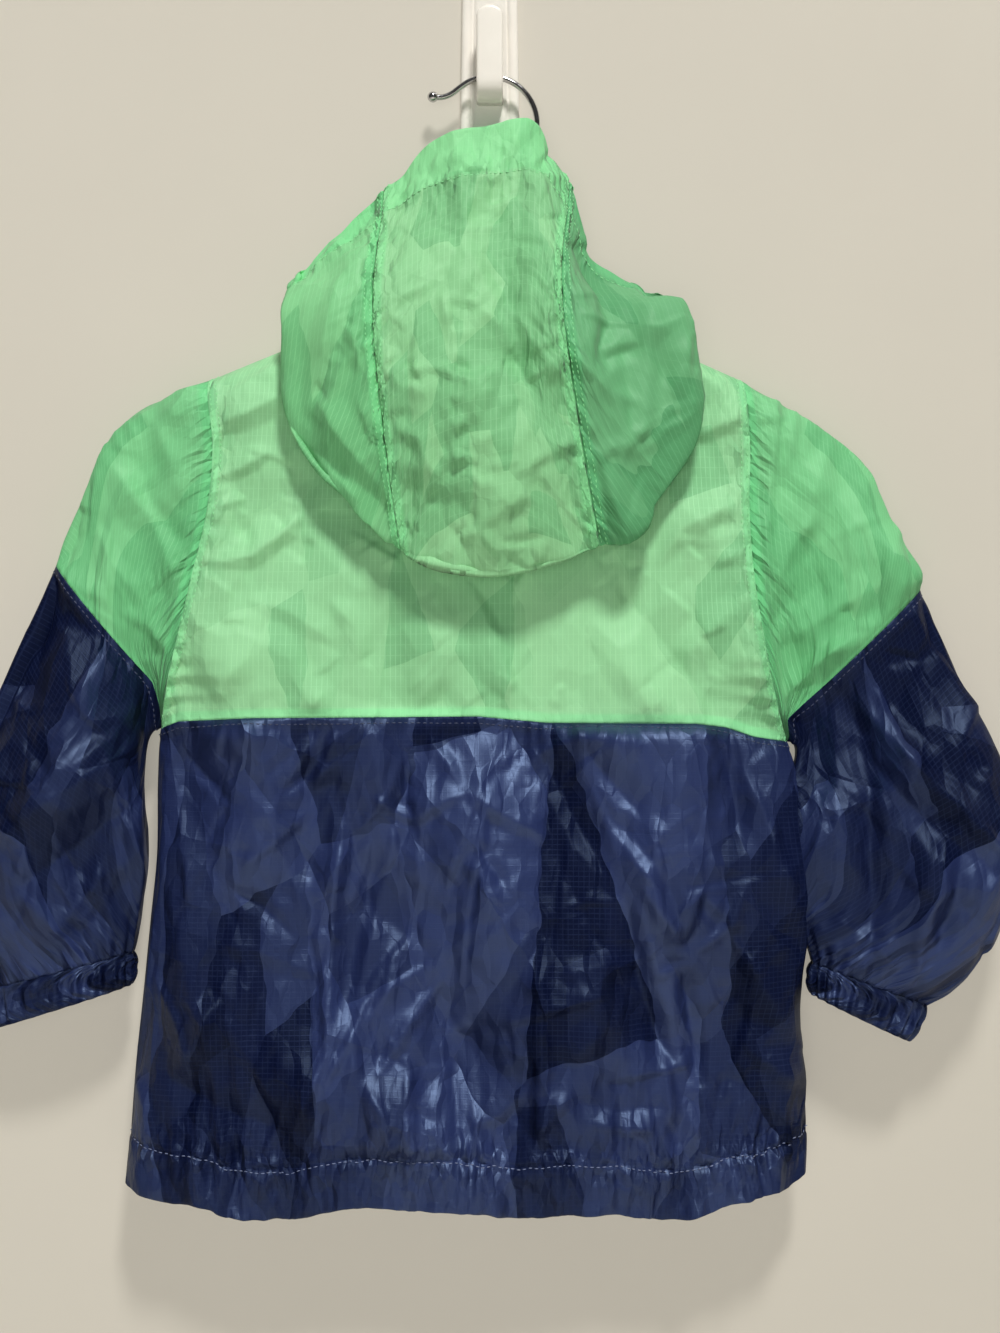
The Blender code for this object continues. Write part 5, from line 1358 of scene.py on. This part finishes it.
def makeNylon(name):
    look = nylonLooks[name]
    material, tree, shader = newMaterial(name, look["constants"])
    weave = placeGroup(tree, "ripstopWeave", **look["weave"])
    wrinkles = placeGroup(tree, "clothWrinkles", **look["wrinkles"])
    mark, pinch = (
        addNode(tree, "ShaderNodeAttribute", attribute_name=label).outputs["Fac"] for label in ("seam", "pinch")
    )
    facets = [placeGroup(tree, "crushedFacets", Size=size, Slope=slope) for size, slope in look["facets"]]
    ruffle = placeGroup(tree, "crushedFacets", Size=look["ruffle"][0], Slope=look["ruffle"][1], Bend=3.0)
    size, slope, low, high, strength = look["patches"]
    large = placeGroup(tree, "crushedFacets", Size=size, Slope=slope, Bend=12.0)
    # painted facet light: a random tone per large and medium cell, low for facets painted as lit and high for
    # facets painted as shaded
    paintedFacetLight = total(tree, product(tree, large["Patch"], 0.62), product(tree, facets[0]["Patch"], 0.38))
    base = mixColour(tree, remap(tree, paintedFacetLight, 0.25, 0.75, 0.0, 1.0), look["litFacet"], look["shadedFacet"])
    # painted shade on the darker patches, then the weave's threads and the seams, then painted shade in the
    # ruffles at seams
    for share, shade in (
        (product(tree, remap(tree, paintedFacetLight, low, high, 0.0, 1.0), strength), "paintedShade"),
        (product(tree, weave["Threads"], look["threadShare"]), "thread"),
        (product(tree, mark, 0.6), "seam"),
        (product(tree, remap(tree, ruffle["Patch"], 0.5, 0.9, 0.0, 0.55), pinch), "paintedShade"),
    ):
        base = mixColour(tree, share, base, look[shade])
    height = total(
        tree, weave["Height"], wrinkles["Height"], large["Height"],
        product(tree, large["Crease"], look["crease"] * 0.001),
        *(product(tree, facet["Height"], wrinkles["Patches"]) for facet in facets),
        product(tree, ruffle["Height"], pinch),
    )
    dull, shiny = look["shine"]
    feed(tree, shader, height, {
        "Base Color": base,
        # facets painted as lit get more specular than those painted as shaded
        "Specular IOR Level": remap(tree, paintedFacetLight, 0.25, 0.70, shiny, dull),
        "Roughness": remap(tree, wrinkles["Patches"], 0.0, 1.0, *look["roughness"]),
    })
    return material


threadSheen = {"Sheen Weight": 0.2}
plainLooks = {
    # two colours, the size in millimetres at which they drift, roughness, bumps in metres, other settings
    "greenThread": ((0.20, 0.62, 0.26, 1), (0.30, 0.76, 0.36, 1), 2.0, (0.45, 0.7), 4e-5, threadSheen),
    "navyThread": ((0.022, 0.032, 0.085, 1), (0.050, 0.065, 0.14, 1), 2.0, (0.4, 0.65), 4e-5, threadSheen),
    "paleNavyThread": ((0.12, 0.155, 0.29, 1), (0.19, 0.23, 0.38, 1), 2.0, (0.4, 0.65), 4e-5, threadSheen),
    "zipTeethPlastic": ((0.014, 0.020, 0.050, 1), (0.020, 0.028, 0.066, 1), 4.0, (0.28, 0.42), 1e-5, {}),
    "hookChrome": ((0.50, 0.50, 0.51, 1), (0.66, 0.66, 0.67, 1), 9.0, (0.10, 0.22), 4e-6, {"Metallic": 1.0}),
    "zipNickel": ((0.46, 0.46, 0.46, 1), (0.62, 0.62, 0.61, 1), 5.0, (0.18, 0.36), 1e-5, {"Metallic": 1.0}),
    "hangerPlastic": ((0.66, 0.66, 0.64, 1), (0.76, 0.76, 0.74, 1), 22.0, (0.30, 0.45), 2e-5, {}),
    "wallHookPlastic": (
        (0.80, 0.765, 0.70, 1), (0.86, 0.825, 0.76, 1), 26.0, (0.14, 0.24), 1.2e-5,
        {"Coat Weight": 0.3, "Coat Roughness": 0.08},
    ),
    # the wall also glows: painted light that lifts the jacket's and the hook's shadows on it
    "wallPaintAndGlow": (
        (0.30, 0.282, 0.24, 1), (0.345, 0.325, 0.28, 1), 420.0, (0.6, 0.75), 8e-5,
        {"Specular IOR Level": 0.25, "Emission Color": (0.60, 0.56, 0.48, 1), "Emission Strength": 0.48},
    ),
    "floorPaint": (
        (0.60, 0.57, 0.51, 1), (0.68, 0.65, 0.59, 1), 500.0, (0.5, 0.65), 5e-5, {"Specular IOR Level": 0.3},
    ),
}


def makePlain(name):
    first, second, size, roughness, bumps, constants = plainLooks[name]
    material, tree, shader = newMaterial(name, constants)
    drift = placeGroup(tree, "surfaceDrift", Size=size, Detail=4.0)["Drift"]
    fine = placeGroup(tree, "surfaceDrift", Size=max(size * 0.12, 0.6), Detail=3.0)["Drift"]
    feed(tree, shader, product(tree, fine, bumps), {
        "Base Color": mixColour(tree, remap(tree, drift, 0.3, 0.7, 0.0, 1.0), first, second),
        "Roughness": remap(tree, fine, 0.3, 0.7, *roughness),
    })
    return material


def makeTape():
    material, tree, shader = newMaterial("zipTape", {"Roughness": 0.7, "Sheen Weight": 0.2})
    down = addNode(tree, "ShaderNodeSeparateXYZ", {0: clothPlace(tree)}).outputs[1]
    ribs = calc(tree, "ABSOLUTE", calc(tree, "SINE", product(tree, down, 5.2)))
    drift = placeGroup(tree, "surfaceDrift", Size=14.0, Detail=3.0)["Drift"]
    shade = product(tree, total(tree, ribs, drift), 0.5)
    feed(tree, shader, product(tree, ribs, 0.00006), {
        "Base Color": mixColour(tree, shade, (0.009, 0.012, 0.034, 1), (0.020, 0.027, 0.066, 1)),
    })
    return material


def repeatTree(name, shape):
    # the same small shape again and again along a line, its top facing out
    tree = bpy.data.node_groups.new(name, "GeometryNodeTree")
    face = tree.interface
    face.new_socket("Geometry", in_out="OUTPUT", socket_type="NodeSocketGeometry")
    face.new_socket("Geometry", in_out="INPUT", socket_type="NodeSocketGeometry")
    starts = {"Pitch": 0.003, "Length": 0.0025, "Width": 0.0006, "Height": 0.0005, "Uneven": 0.15}
    for label, value in starts.items():
        face.new_socket(label, in_out="INPUT", socket_type="NodeSocketFloat").default_value = value
    face.new_socket("Finish", in_out="INPUT", socket_type="NodeSocketMaterial")
    given = tree.nodes.new("NodeGroupInput").outputs
    line = addNode(tree, "GeometryNodeMeshToCurve", {"Mesh": given["Geometry"]}).outputs[0]
    even = addNode(tree, "GeometryNodeResampleCurve", {"Curve": line, "Length": given["Pitch"]}, mode="LENGTH")
    if shape == "stitch":
        small = addNode(tree, "GeometryNodeMeshUVSphere", {"Segments": 6, "Rings": 3, "Radius": 0.5})
        single = small.outputs[0]
    else:
        small = addNode(tree, "GeometryNodeMeshCylinder", {"Vertices": 10, "Radius": 0.5, "Depth": 1.0})
        single = addNode(tree, "GeometryNodeTransform", {
            "Geometry": small.outputs[0], "Rotation": (math.pi / 2, 0.0, 0.0)}).outputs[0]
    tangent = addNode(tree, "GeometryNodeInputTangent").outputs[0]
    facing = addNode(tree, "GeometryNodeInputNamedAttribute", {"Name": "facing"}, data_type="FLOAT_VECTOR")
    turned = addNode(tree, "FunctionNodeAlignRotationToVector", {"Vector": tangent}, axis="X")
    upright = addNode(tree, "FunctionNodeAlignRotationToVector", {
        "Rotation": turned.outputs[0], "Vector": facing.outputs[0]}, axis="Z", pivot_axis="X")
    size = addNode(tree, "ShaderNodeCombineXYZ", {0: given["Length"], 1: given["Width"], 2: given["Height"]})
    least = calc(tree, "SUBTRACT", 1.0, given["Uneven"])
    spread = addNode(tree, "FunctionNodeRandomValue", {2: least, 3: 1.0, "Seed": 7}, data_type="FLOAT")
    copies = addNode(tree, "GeometryNodeInstanceOnPoints", {
        "Points": even.outputs[0], "Instance": single, "Rotation": upright.outputs[0],
        "Scale": scaled(tree, size.outputs[0], spread.outputs[1]),
    })
    real = addNode(tree, "GeometryNodeRealizeInstances", {"Geometry": copies.outputs[0]})
    smooth = addNode(tree, "GeometryNodeSetShadeSmooth", {"Geometry": real.outputs[0]})
    finish = addNode(tree, "GeometryNodeSetMaterial", {
        "Geometry": smooth.outputs[0], "Material": given["Finish"]})
    tree.links.new(finish.outputs[0], tree.nodes.new("NodeGroupOutput").inputs["Geometry"])
    return tree


def repeatAlong(name, tree, lines, sizes, material):
    # lines: (points in millimetres, outward directions) of each run
    points, facing = (np.concatenate(part) for part in zip(*lines))
    edges, start = [], 0
    for line, _ in lines:
        edges += [(k, k + 1) for k in range(start, start + len(line) - 1)]
        start += len(line)
    mesh = bpy.data.meshes.new(name + "_line")
    mesh.from_pydata((points * mm).tolist(), edges, [])
    mark = mesh.attributes.new("facing", "FLOAT_VECTOR", "POINT")
    mark.data.foreach_set("vector", facing.astype(np.float32).ravel())
    guide = bpy.data.objects.new(name + "_line", mesh)
    bpy.context.collection.objects.link(guide)
    modifier = guide.modifiers.new("repeat", "NODES")
    modifier.node_group = tree
    sockets = {item.name: item.identifier for item in tree.interface.items_tree if item.in_out == "INPUT"}
    for label, value in sizes.items():
        modifier[sockets[label]] = value * mm if label != "Uneven" else value
    modifier[sockets["Finish"]] = material
    bpy.context.view_layer.update()
    graph = bpy.context.evaluated_depsgraph_get()
    result = bpy.data.meshes.new_from_object(guide.evaluated_get(graph))
    bpy.data.objects.remove(guide)
    piece = bpy.data.objects.new(name, result)
    bpy.context.collection.objects.link(piece)
    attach(piece, "jacket")


stitchSizes = {
    "seam": {"Pitch": 2.9, "Length": 2.3, "Width": 0.55, "Height": 0.45, "Uneven": 0.12},
    "hem": {"Pitch": 3.3, "Length": 2.7, "Width": 0.7, "Height": 0.5, "Uneven": 0.12},
}
sewing = {
    # sizes, thread, slot, the sheets and the edges that the rows follow, and their distances from the edge
    "stitches_yoke": ("hem", "navyThread", "navy_nylon", (
        ("back_lower", "top"), ("front_left_lower", "top"), ("front_right_lower", "top")), (3.6,)),
    "stitches_hem": ("hem", "paleNavyThread", "navy_nylon", (
        ("back_lower", "bottom"), ("front_left_lower", "bottom"), ("front_right_lower", "bottom")),
        (panels["casingHeight"],)),
    "stitches_armholes": ("seam", "greenThread", "green_nylon", (
        ("back_yoke", "left"), ("back_yoke", "right"), ("front_left_upper", "left"),
        ("front_right_upper", "right")), (1.6, 5.0)),
    "stitches_sleeves": ("hem", "navyThread", "navy_nylon", (
        ("sleeve_left_lower", "top"), ("sleeve_right_lower", "top")), (3.6,)),
    "stitches_hood": ("seam", "greenThread", "green_nylon", (
        ("hood_centre", "left"), ("hood_centre", "right"), ("hood_left", "right"), ("hood_right", "left")),
        (1.3, 4.3)),
    "stitches_hood_edge": ("hem", "greenThread", "green_nylon", (
        ("hood_left", "casing"), ("hood_centre", "casing"), ("hood_right", "casing")), (0,)),
}


def stitchRun(sheetName, edge, gap):
    if edge == "casing":        # the turned face edge is a share of each rib, not a distance
        outer = made[sheetName]["outer"]
        row = int(round(hood["casing"] / hoodDetail["foldShare"] * (hoodDetail["rows"][0] - 1)))
        facing = gridNormals(outer, made[sheetName]["outwards"])[row]
        return outer[row] + facing * 0.1, facing
    line, facing = lineOn(sheetName, edge, gap)
    return line + facing * 0.05, facing


def sewAll():
    tree = repeatTree("stitchRow", "stitch")
    for name, (sizes, thread, slotName, places, gaps) in sewing.items():
        runs = [stitchRun(*place, gap) for place in places for gap in gaps]
        repeatAlong(name, tree, runs, stitchSizes[sizes], looks[thread])


def buildTapes():
    edge = zipper["half"]
    heights = np.linspace(body["throat"][0] + 0.2, zipper["foot"][1], 190)
    for side, offsets in (("left", (-11.4, -8.0, -edge, -2.2, 0.0)), ("right", (0.0, 2.2, edge, 8.0, 11.4))):
        z, off = np.meshgrid(heights, offsets, indexing="ij")
        x = zipAcross(z) + off
        points, normals = np.stack([x, bodyDepth("front", x, z), z], -1), bodyNormal("front", x, z)
        below = 0.5 + 0.25 * np.maximum(np.abs(off) - edge, 0)      # the hidden part lies under the fronts
        clothSheet(f"zip_{side}", points - normals * below[..., None], np.stack([x, z], -1), 0.0, 0.0, normals,
                   looks["zipTape"], f"front_{side}_upper_cloth")


def buildTeeth():
    z = np.linspace(body["throat"][0] - 2, zipper["foot"][1] + 3, 200)
    runs = []
    for side, shift in ((-1, 0.0), (1, zipper["pitch"] / 2)):
        x = zipAcross(z) + side * 0.75
        line, facing = np.stack([x, bodyDepth("front", x, z), z - shift], -1), bodyNormal("front", x, z)
        runs.append((line + facing * 0.35, facing))
    across, lengthwise, tall = zipper["tooth"]
    sizes = {"Pitch": zipper["pitch"], "Length": lengthwise, "Width": across, "Height": tall, "Uneven": 0.0}
    tree = repeatTree("zipTeeth", "tooth")
    repeatAlong("zip_teeth", tree, runs, sizes, looks["zipTeethPlastic"])


wireHook = {
    "radius": 1.6, "ball": 3.0, "sides": 20,
    "stem": (
        (0, -20.5, -112.5), (0, -20.5, -96), (0, -20.5, -90), (0.2, -18.4, -82), (1.4, -15.8, -74),
        (5, -13.6, -66.5),
    ),
    "centre": (0, -38.3), "bend": 26.0, "depth": -13.0, "arc": (-62, 118),
    "tip": ((-17, -18.6), (-21.5, -21.9), (-26.5, -23.6), (-31, -23.4)),
}


def meshPiece(name, points, faces, material, replaced):
    mesh = bpy.data.meshes.new(name)
    mesh.from_pydata((points * mm).tolist(), [], faces)
    work = bmesh.new()
    work.from_mesh(mesh)
    bmesh.ops.recalc_face_normals(work, faces=work.faces)
    work.to_mesh(mesh)
    work.free()
    mesh.shade_smooth()
    mesh.materials.append(material)
    piece = bpy.data.objects.new(name, mesh)
    bpy.context.collection.objects.link(piece)
    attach(piece, "jacket")
    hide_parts(replaced)


def ringFaces(rings, sides):
    faces = [
        (i * sides + j, i * sides + (j + 1) % sides, (i + 1) * sides + (j + 1) % sides, (i + 1) * sides + j)
        for i in range(rings - 1) for j in range(sides)
    ]
    return faces + [tuple(range(sides)), tuple(range((rings - 1) * sides, rings * sides))[::-1]]


def wireRoute():
    x, z = wireHook["centre"]
    depth, bend = wireHook["depth"], wireHook["bend"]
    turn = np.radians(np.linspace(*wireHook["arc"], 41))
    route = list(wireHook["stem"])
    route += [(x + bend * math.cos(a), depth, z + bend * math.sin(a)) for a in turn]
    route += [(tipX, depth, tipZ) for tipX, tipZ in wireHook["tip"]]
    route = np.array(route, float)
    run = distances(route[:, None], 0)[:, 0]
    return spline(run, route, np.linspace(0, run[-1], 150))


def buildWire():
    line, ball, sides = wireRoute(), wireHook["ball"], wireHook["sides"]
    radius = np.full(len(line), wireHook["radius"])
    turn = np.linspace(math.asin(wireHook["radius"] / ball), math.pi - 0.03, 14)
    ahead = unit(line[-1] - line[-4])
    line = np.concatenate([line, line[-1] + ahead * (-np.cos(turn) * ball + 0.3)[:, None]])
    radius = np.concatenate([radius, np.sin(turn) * ball])
    tangent = unit(np.gradient(line, axis=0))
    tangent[-15:] = ahead
    angles = np.arange(sides)[:, None] * 2 * math.pi / sides
    side = np.array([0.0, 1.0, 0.0])
    points = []
    for k in range(len(line)):
        side = unit(side - tangent[k] * np.dot(side, tangent[k]))
        other = np.cross(tangent[k], side)
        points.append(line[k] + radius[k] * (np.cos(angles) * side + np.sin(angles) * other))
    faces = ringFaces(len(line), sides)
    meshPiece("hook_wire", np.concatenate(points), faces, looks["hookChrome"], "hanger_hook")


wallHook = {
    "width": (33.0, 30.5), "height": 90.0, "corner": 5.0,       # width at the foot and at the head
    # inset from the outline and depth of each ring of the plate's face
    "rings": (
        (0.0, 0.0), (0.0, -3.0), (0.35, -4.1), (1.3, -4.8), (2.6, -5.0), (5.2, -5.0), (5.6, -4.3),
        (6.3, -4.1), (6.9, -4.4), (7.3, -5.0), (9.0, -5.1),
    ),
    "prong": 14.6, "tip": 25.0, "foot": -26.0, "wall": 5.0, "edge": 1.5, "headHeight": 8.0,
    "spineFoot": -20.5,
    "face": -5.0, "tipFace": -17.5, "trough": -15.2, "innerRadius": 4.0,
}


def roundedOutline(inset, steps=8):
    half = wallHook["height"] / 2 - inset
    corner = max(wallHook["corner"] - inset * 0.6, 1.2)
    foot, head = (width / 2 - inset for width in wallHook["width"])
    points = []
    for k, (signX, signZ) in enumerate(((1, 1), (-1, 1), (-1, -1), (1, -1))):
        wide = head if signZ > 0 else foot
        centre = (signX * (wide - corner), signZ * (half - corner))
        points += arcPoints(centre, corner, 90 * k, 90 * k + 90, steps)
    return np.array(points)


def arcPoints(centre, radius, start, end, count):
    turn = np.radians(np.linspace(start, end, count))
    return [(centre[0] + radius * math.cos(a), centre[1] + radius * math.sin(a)) for a in turn]


def prongOutline():
    # the J from the side, as depth and height; and the middle of its tip
    face, tipFace, trough = wallHook["face"], wallHook["tipFace"], wallHook["trough"]
    wall, foot, inner = wallHook["wall"], wallHook["foot"], wallHook["innerRadius"]
    bend = 5.0 + wall
    corner = (tipFace + 5.0, foot + bend)
    tipMiddle = (tipFace - wall / 2, wallHook["tip"] - wall / 2)
    inside = (tipFace + inner, trough + inner)
    outline = [(face + 1.0, foot)] + arcPoints(corner, bend, 270, 180, 14)
    outline += [(tipFace - wall, z) for z in np.linspace(corner[1], tipMiddle[1], 16)[1:-1]]
    outline += arcPoints(tipMiddle, wall / 2, 180, 0, 14)
    outline += [(tipFace, z) for z in np.linspace(tipMiddle[1], inside[1], 16)[1:-1]]
    outline += arcPoints(inside, inner, 180, 270, 9)
    return np.array(outline + [(face + 1.0, trough)]), tipMiddle


def buildProng():
    outline, tipMiddle = prongOutline()
    half, edge, tip = wallHook["prong"] / 2, wallHook["edge"], wallHook["tip"]
    spine = np.stack([
        np.clip(outline[:, 0], tipMiddle[0], wallHook["face"] + 1.0),
        np.clip(outline[:, 1], wallHook["spineFoot"], tipMiddle[1]),
    ], -1)
    toSpine = spine - outline
    gap = np.linalg.norm(toSpine, axis=1, keepdims=True)
    low = tip - wallHook["headHeight"]
    layers = []
    for x in half * np.sin(np.linspace(-math.pi / 2, math.pi / 2, 25)):
        rounding = max(abs(x) - (half - edge), 0) / edge
        inset = edge * (1 - math.sqrt(max(1 - rounding ** 2, 0)))
        shape = outline + toSpine / np.maximum(gap, 1e-6) * np.minimum(inset, gap * 0.9)
        drop = half * 0.95 * (1 - math.sqrt(max(1 - (x / (half * 1.02)) ** 2, 0)))
        shape[:, 1] -= np.clip((shape[:, 1] - low) / (tip - low), 0, 1) * drop
        layers.append(np.stack([np.full(len(shape), x), shape[:, 0], shape[:, 1]], -1))
    faces = ringFaces(len(layers), len(outline))
    meshPiece("wall_prong", np.concatenate(layers), faces, looks["wallHookPlastic"], "wall_hook")


def buildPlate():
    rings = []
    for inset, depth in wallHook["rings"]:
        outline = roundedOutline(inset)
        rings.append(np.stack([outline[:, 0], np.full(len(outline), depth), outline[:, 1]], -1))
    faces = ringFaces(len(rings), len(rings[0]))
    meshPiece("wall_plate", np.concatenate(rings), faces, looks["wallHookPlastic"], "wall_hook")


def finishHardware():
    for nodeName, finish, slotName in (
        ("hanger_body", "hangerPlastic", "hanger_plastic"), ("zip_slider", "zipNickel", "zip_metal"),
        ("zip_pull", "zipNickel", "zip_metal"),
    ):
        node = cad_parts[nodeName]
        node.data.materials.clear()
        node.data.materials.append(looks[finish])


def declareCuts():
    for name, item in made.items():
        width, length = item["flat"]
        narrow = min(1, math.sqrt(item["area"] / (0.5 * width * length)))      # a cut that tapers
        width, length = round(width * narrow, 3), round(length * narrow, 3)


studio = {
    "reach": 4.0, "floor": -1.15, "wallTop": 2.4, "wallBehind": 0.0004,
    # place and size in metres, power in watts
    "lights": {
        "key": {"place": (0.45, -1.95, 2.55), "size": 0.55, "power": 114, "colour": (1.0, 0.985, 0.955)},
        "front": {"place": (-0.2, -2.8, -0.6), "size": 1.6, "power": 25, "colour": (1.0, 0.99, 0.97)},
        "behind": {"place": (0.5, 2.3, 0.0), "size": 1.2, "power": 30, "colour": (1.0, 0.99, 0.97)},
    },
    "aim": (0.0, -0.03, -0.34),
    "surroundings": 0.045, "surroundingsColour": (1.0, 0.99, 0.97, 1),
    "camera": {"place": (0.0056, -1.05, -0.3364), "lens": 50.96},
}


def stagePlane(name, corners, material):
    mesh = bpy.data.meshes.new(name)
    mesh.from_pydata(corners, [], [tuple(range(len(corners)))])
    mesh.materials.append(material)
    plane = bpy.data.objects.new(name, mesh)
    bpy.context.collection.objects.link(plane)


def seeThroughFromBehind(material):
    tree = material.node_tree
    behind = addNode(tree, "ShaderNodeNewGeometry").outputs["Backfacing"]
    behind = calc(tree, "MAXIMUM", behind, addNode(tree, "ShaderNodeLightPath").outputs["Is Shadow Ray"])
    clear = addNode(tree, "ShaderNodeBsdfTransparent").outputs[0]
    painted = tree.nodes["Principled BSDF"].outputs[0]
    mixed = addNode(tree, "ShaderNodeMixShader", {0: behind, 1: painted, 2: clear})
    tree.links.new(mixed.outputs[0], tree.nodes["Material Output"].inputs["Surface"])


def buildRoom():
    reach, low, top, behind = (studio[key] for key in ("reach", "floor", "wallTop", "wallBehind"))
    seeThroughFromBehind(looks["wallPaintAndGlow"])
    wall = [(-reach, behind, low), (reach, behind, low), (reach, behind, top), (-reach, behind, top)]
    stagePlane("wall", wall, looks["wallPaintAndGlow"])
    floor = [(-reach, -reach, low), (reach, -reach, low), (reach, reach, low), (-reach, reach, low)]
    stagePlane("floor", floor, looks["floorPaint"])


def lightRoom():
    for label, given in studio["lights"].items():
        lamp = bpy.data.lights.new(label + "Light", "AREA")
        lamp.shape = "DISK"
        lamp.size, lamp.energy, lamp.color = given["size"], given["power"], given["colour"]
        holder = bpy.data.objects.new(label + "Light", lamp)
        bpy.context.collection.objects.link(holder)
        holder.location = given["place"]
        holder.visible_glossy = label == "key"
        towards = Vector(studio["aim"]) - Vector(given["place"])
        holder.rotation_euler = towards.to_track_quat("-Z", "Y").to_euler()
    world = bpy.data.worlds.new("studio")
    bpy.context.scene.world = world
    world.use_nodes = True
    background = world.node_tree.nodes["Background"].inputs
    background["Color"].default_value = studio["surroundingsColour"]
    background["Strength"].default_value = studio["surroundings"]


def placeCamera():
    lens = bpy.data.cameras.new("camera")
    lens.lens, lens.sensor_width, lens.sensor_fit = studio["camera"]["lens"], 36.0, "AUTO"
    camera = bpy.data.objects.new("camera", lens)
    bpy.context.collection.objects.link(camera)
    camera.location = studio["camera"]["place"]
    camera.rotation_euler = (math.pi / 2, 0, 0)
    bpy.context.scene.camera = camera
    bpy.context.scene.view_settings.view_transform = "Standard"


for makeGroup in (makeWeaveGroup, makeWrinkleGroup, makeFacetGroup, makeDriftGroup):
    group = makeGroup()
    groups[group.name] = group
looks = {name: makeNylon(name) for name in nylonLooks}
looks.update({name: makePlain(name) for name in plainLooks})
looks["zipTape"] = makeTape()
print("finishes ready:", len(looks))

buildBackAndFronts(looks["yokeGreenNylon"], looks["navyNylon"])
print("back and fronts done")
for side in ("left", "right"):
    buildLowerSleeve(side, looks["navyNylon"])
    buildUpperSleeve(side, looks["sleeveGreenNylon"])
    buildCuff(side, looks["navyNylon"])
print("sleeves and cuffs done")
buildHood([looks[name] for name in ("hoodLeftLitNylon", "hoodGreenNylon", "hoodRightShadedNylon")])
print("hood done")
buildTapes()
sewAll()
buildTeeth()
print("zip and sewing done")
buildWire()
buildPlate()
buildProng()
finishHardware()
print("hardware done")
declareCuts()
buildRoom()
lightRoom()
placeCamera()
print("studio done")
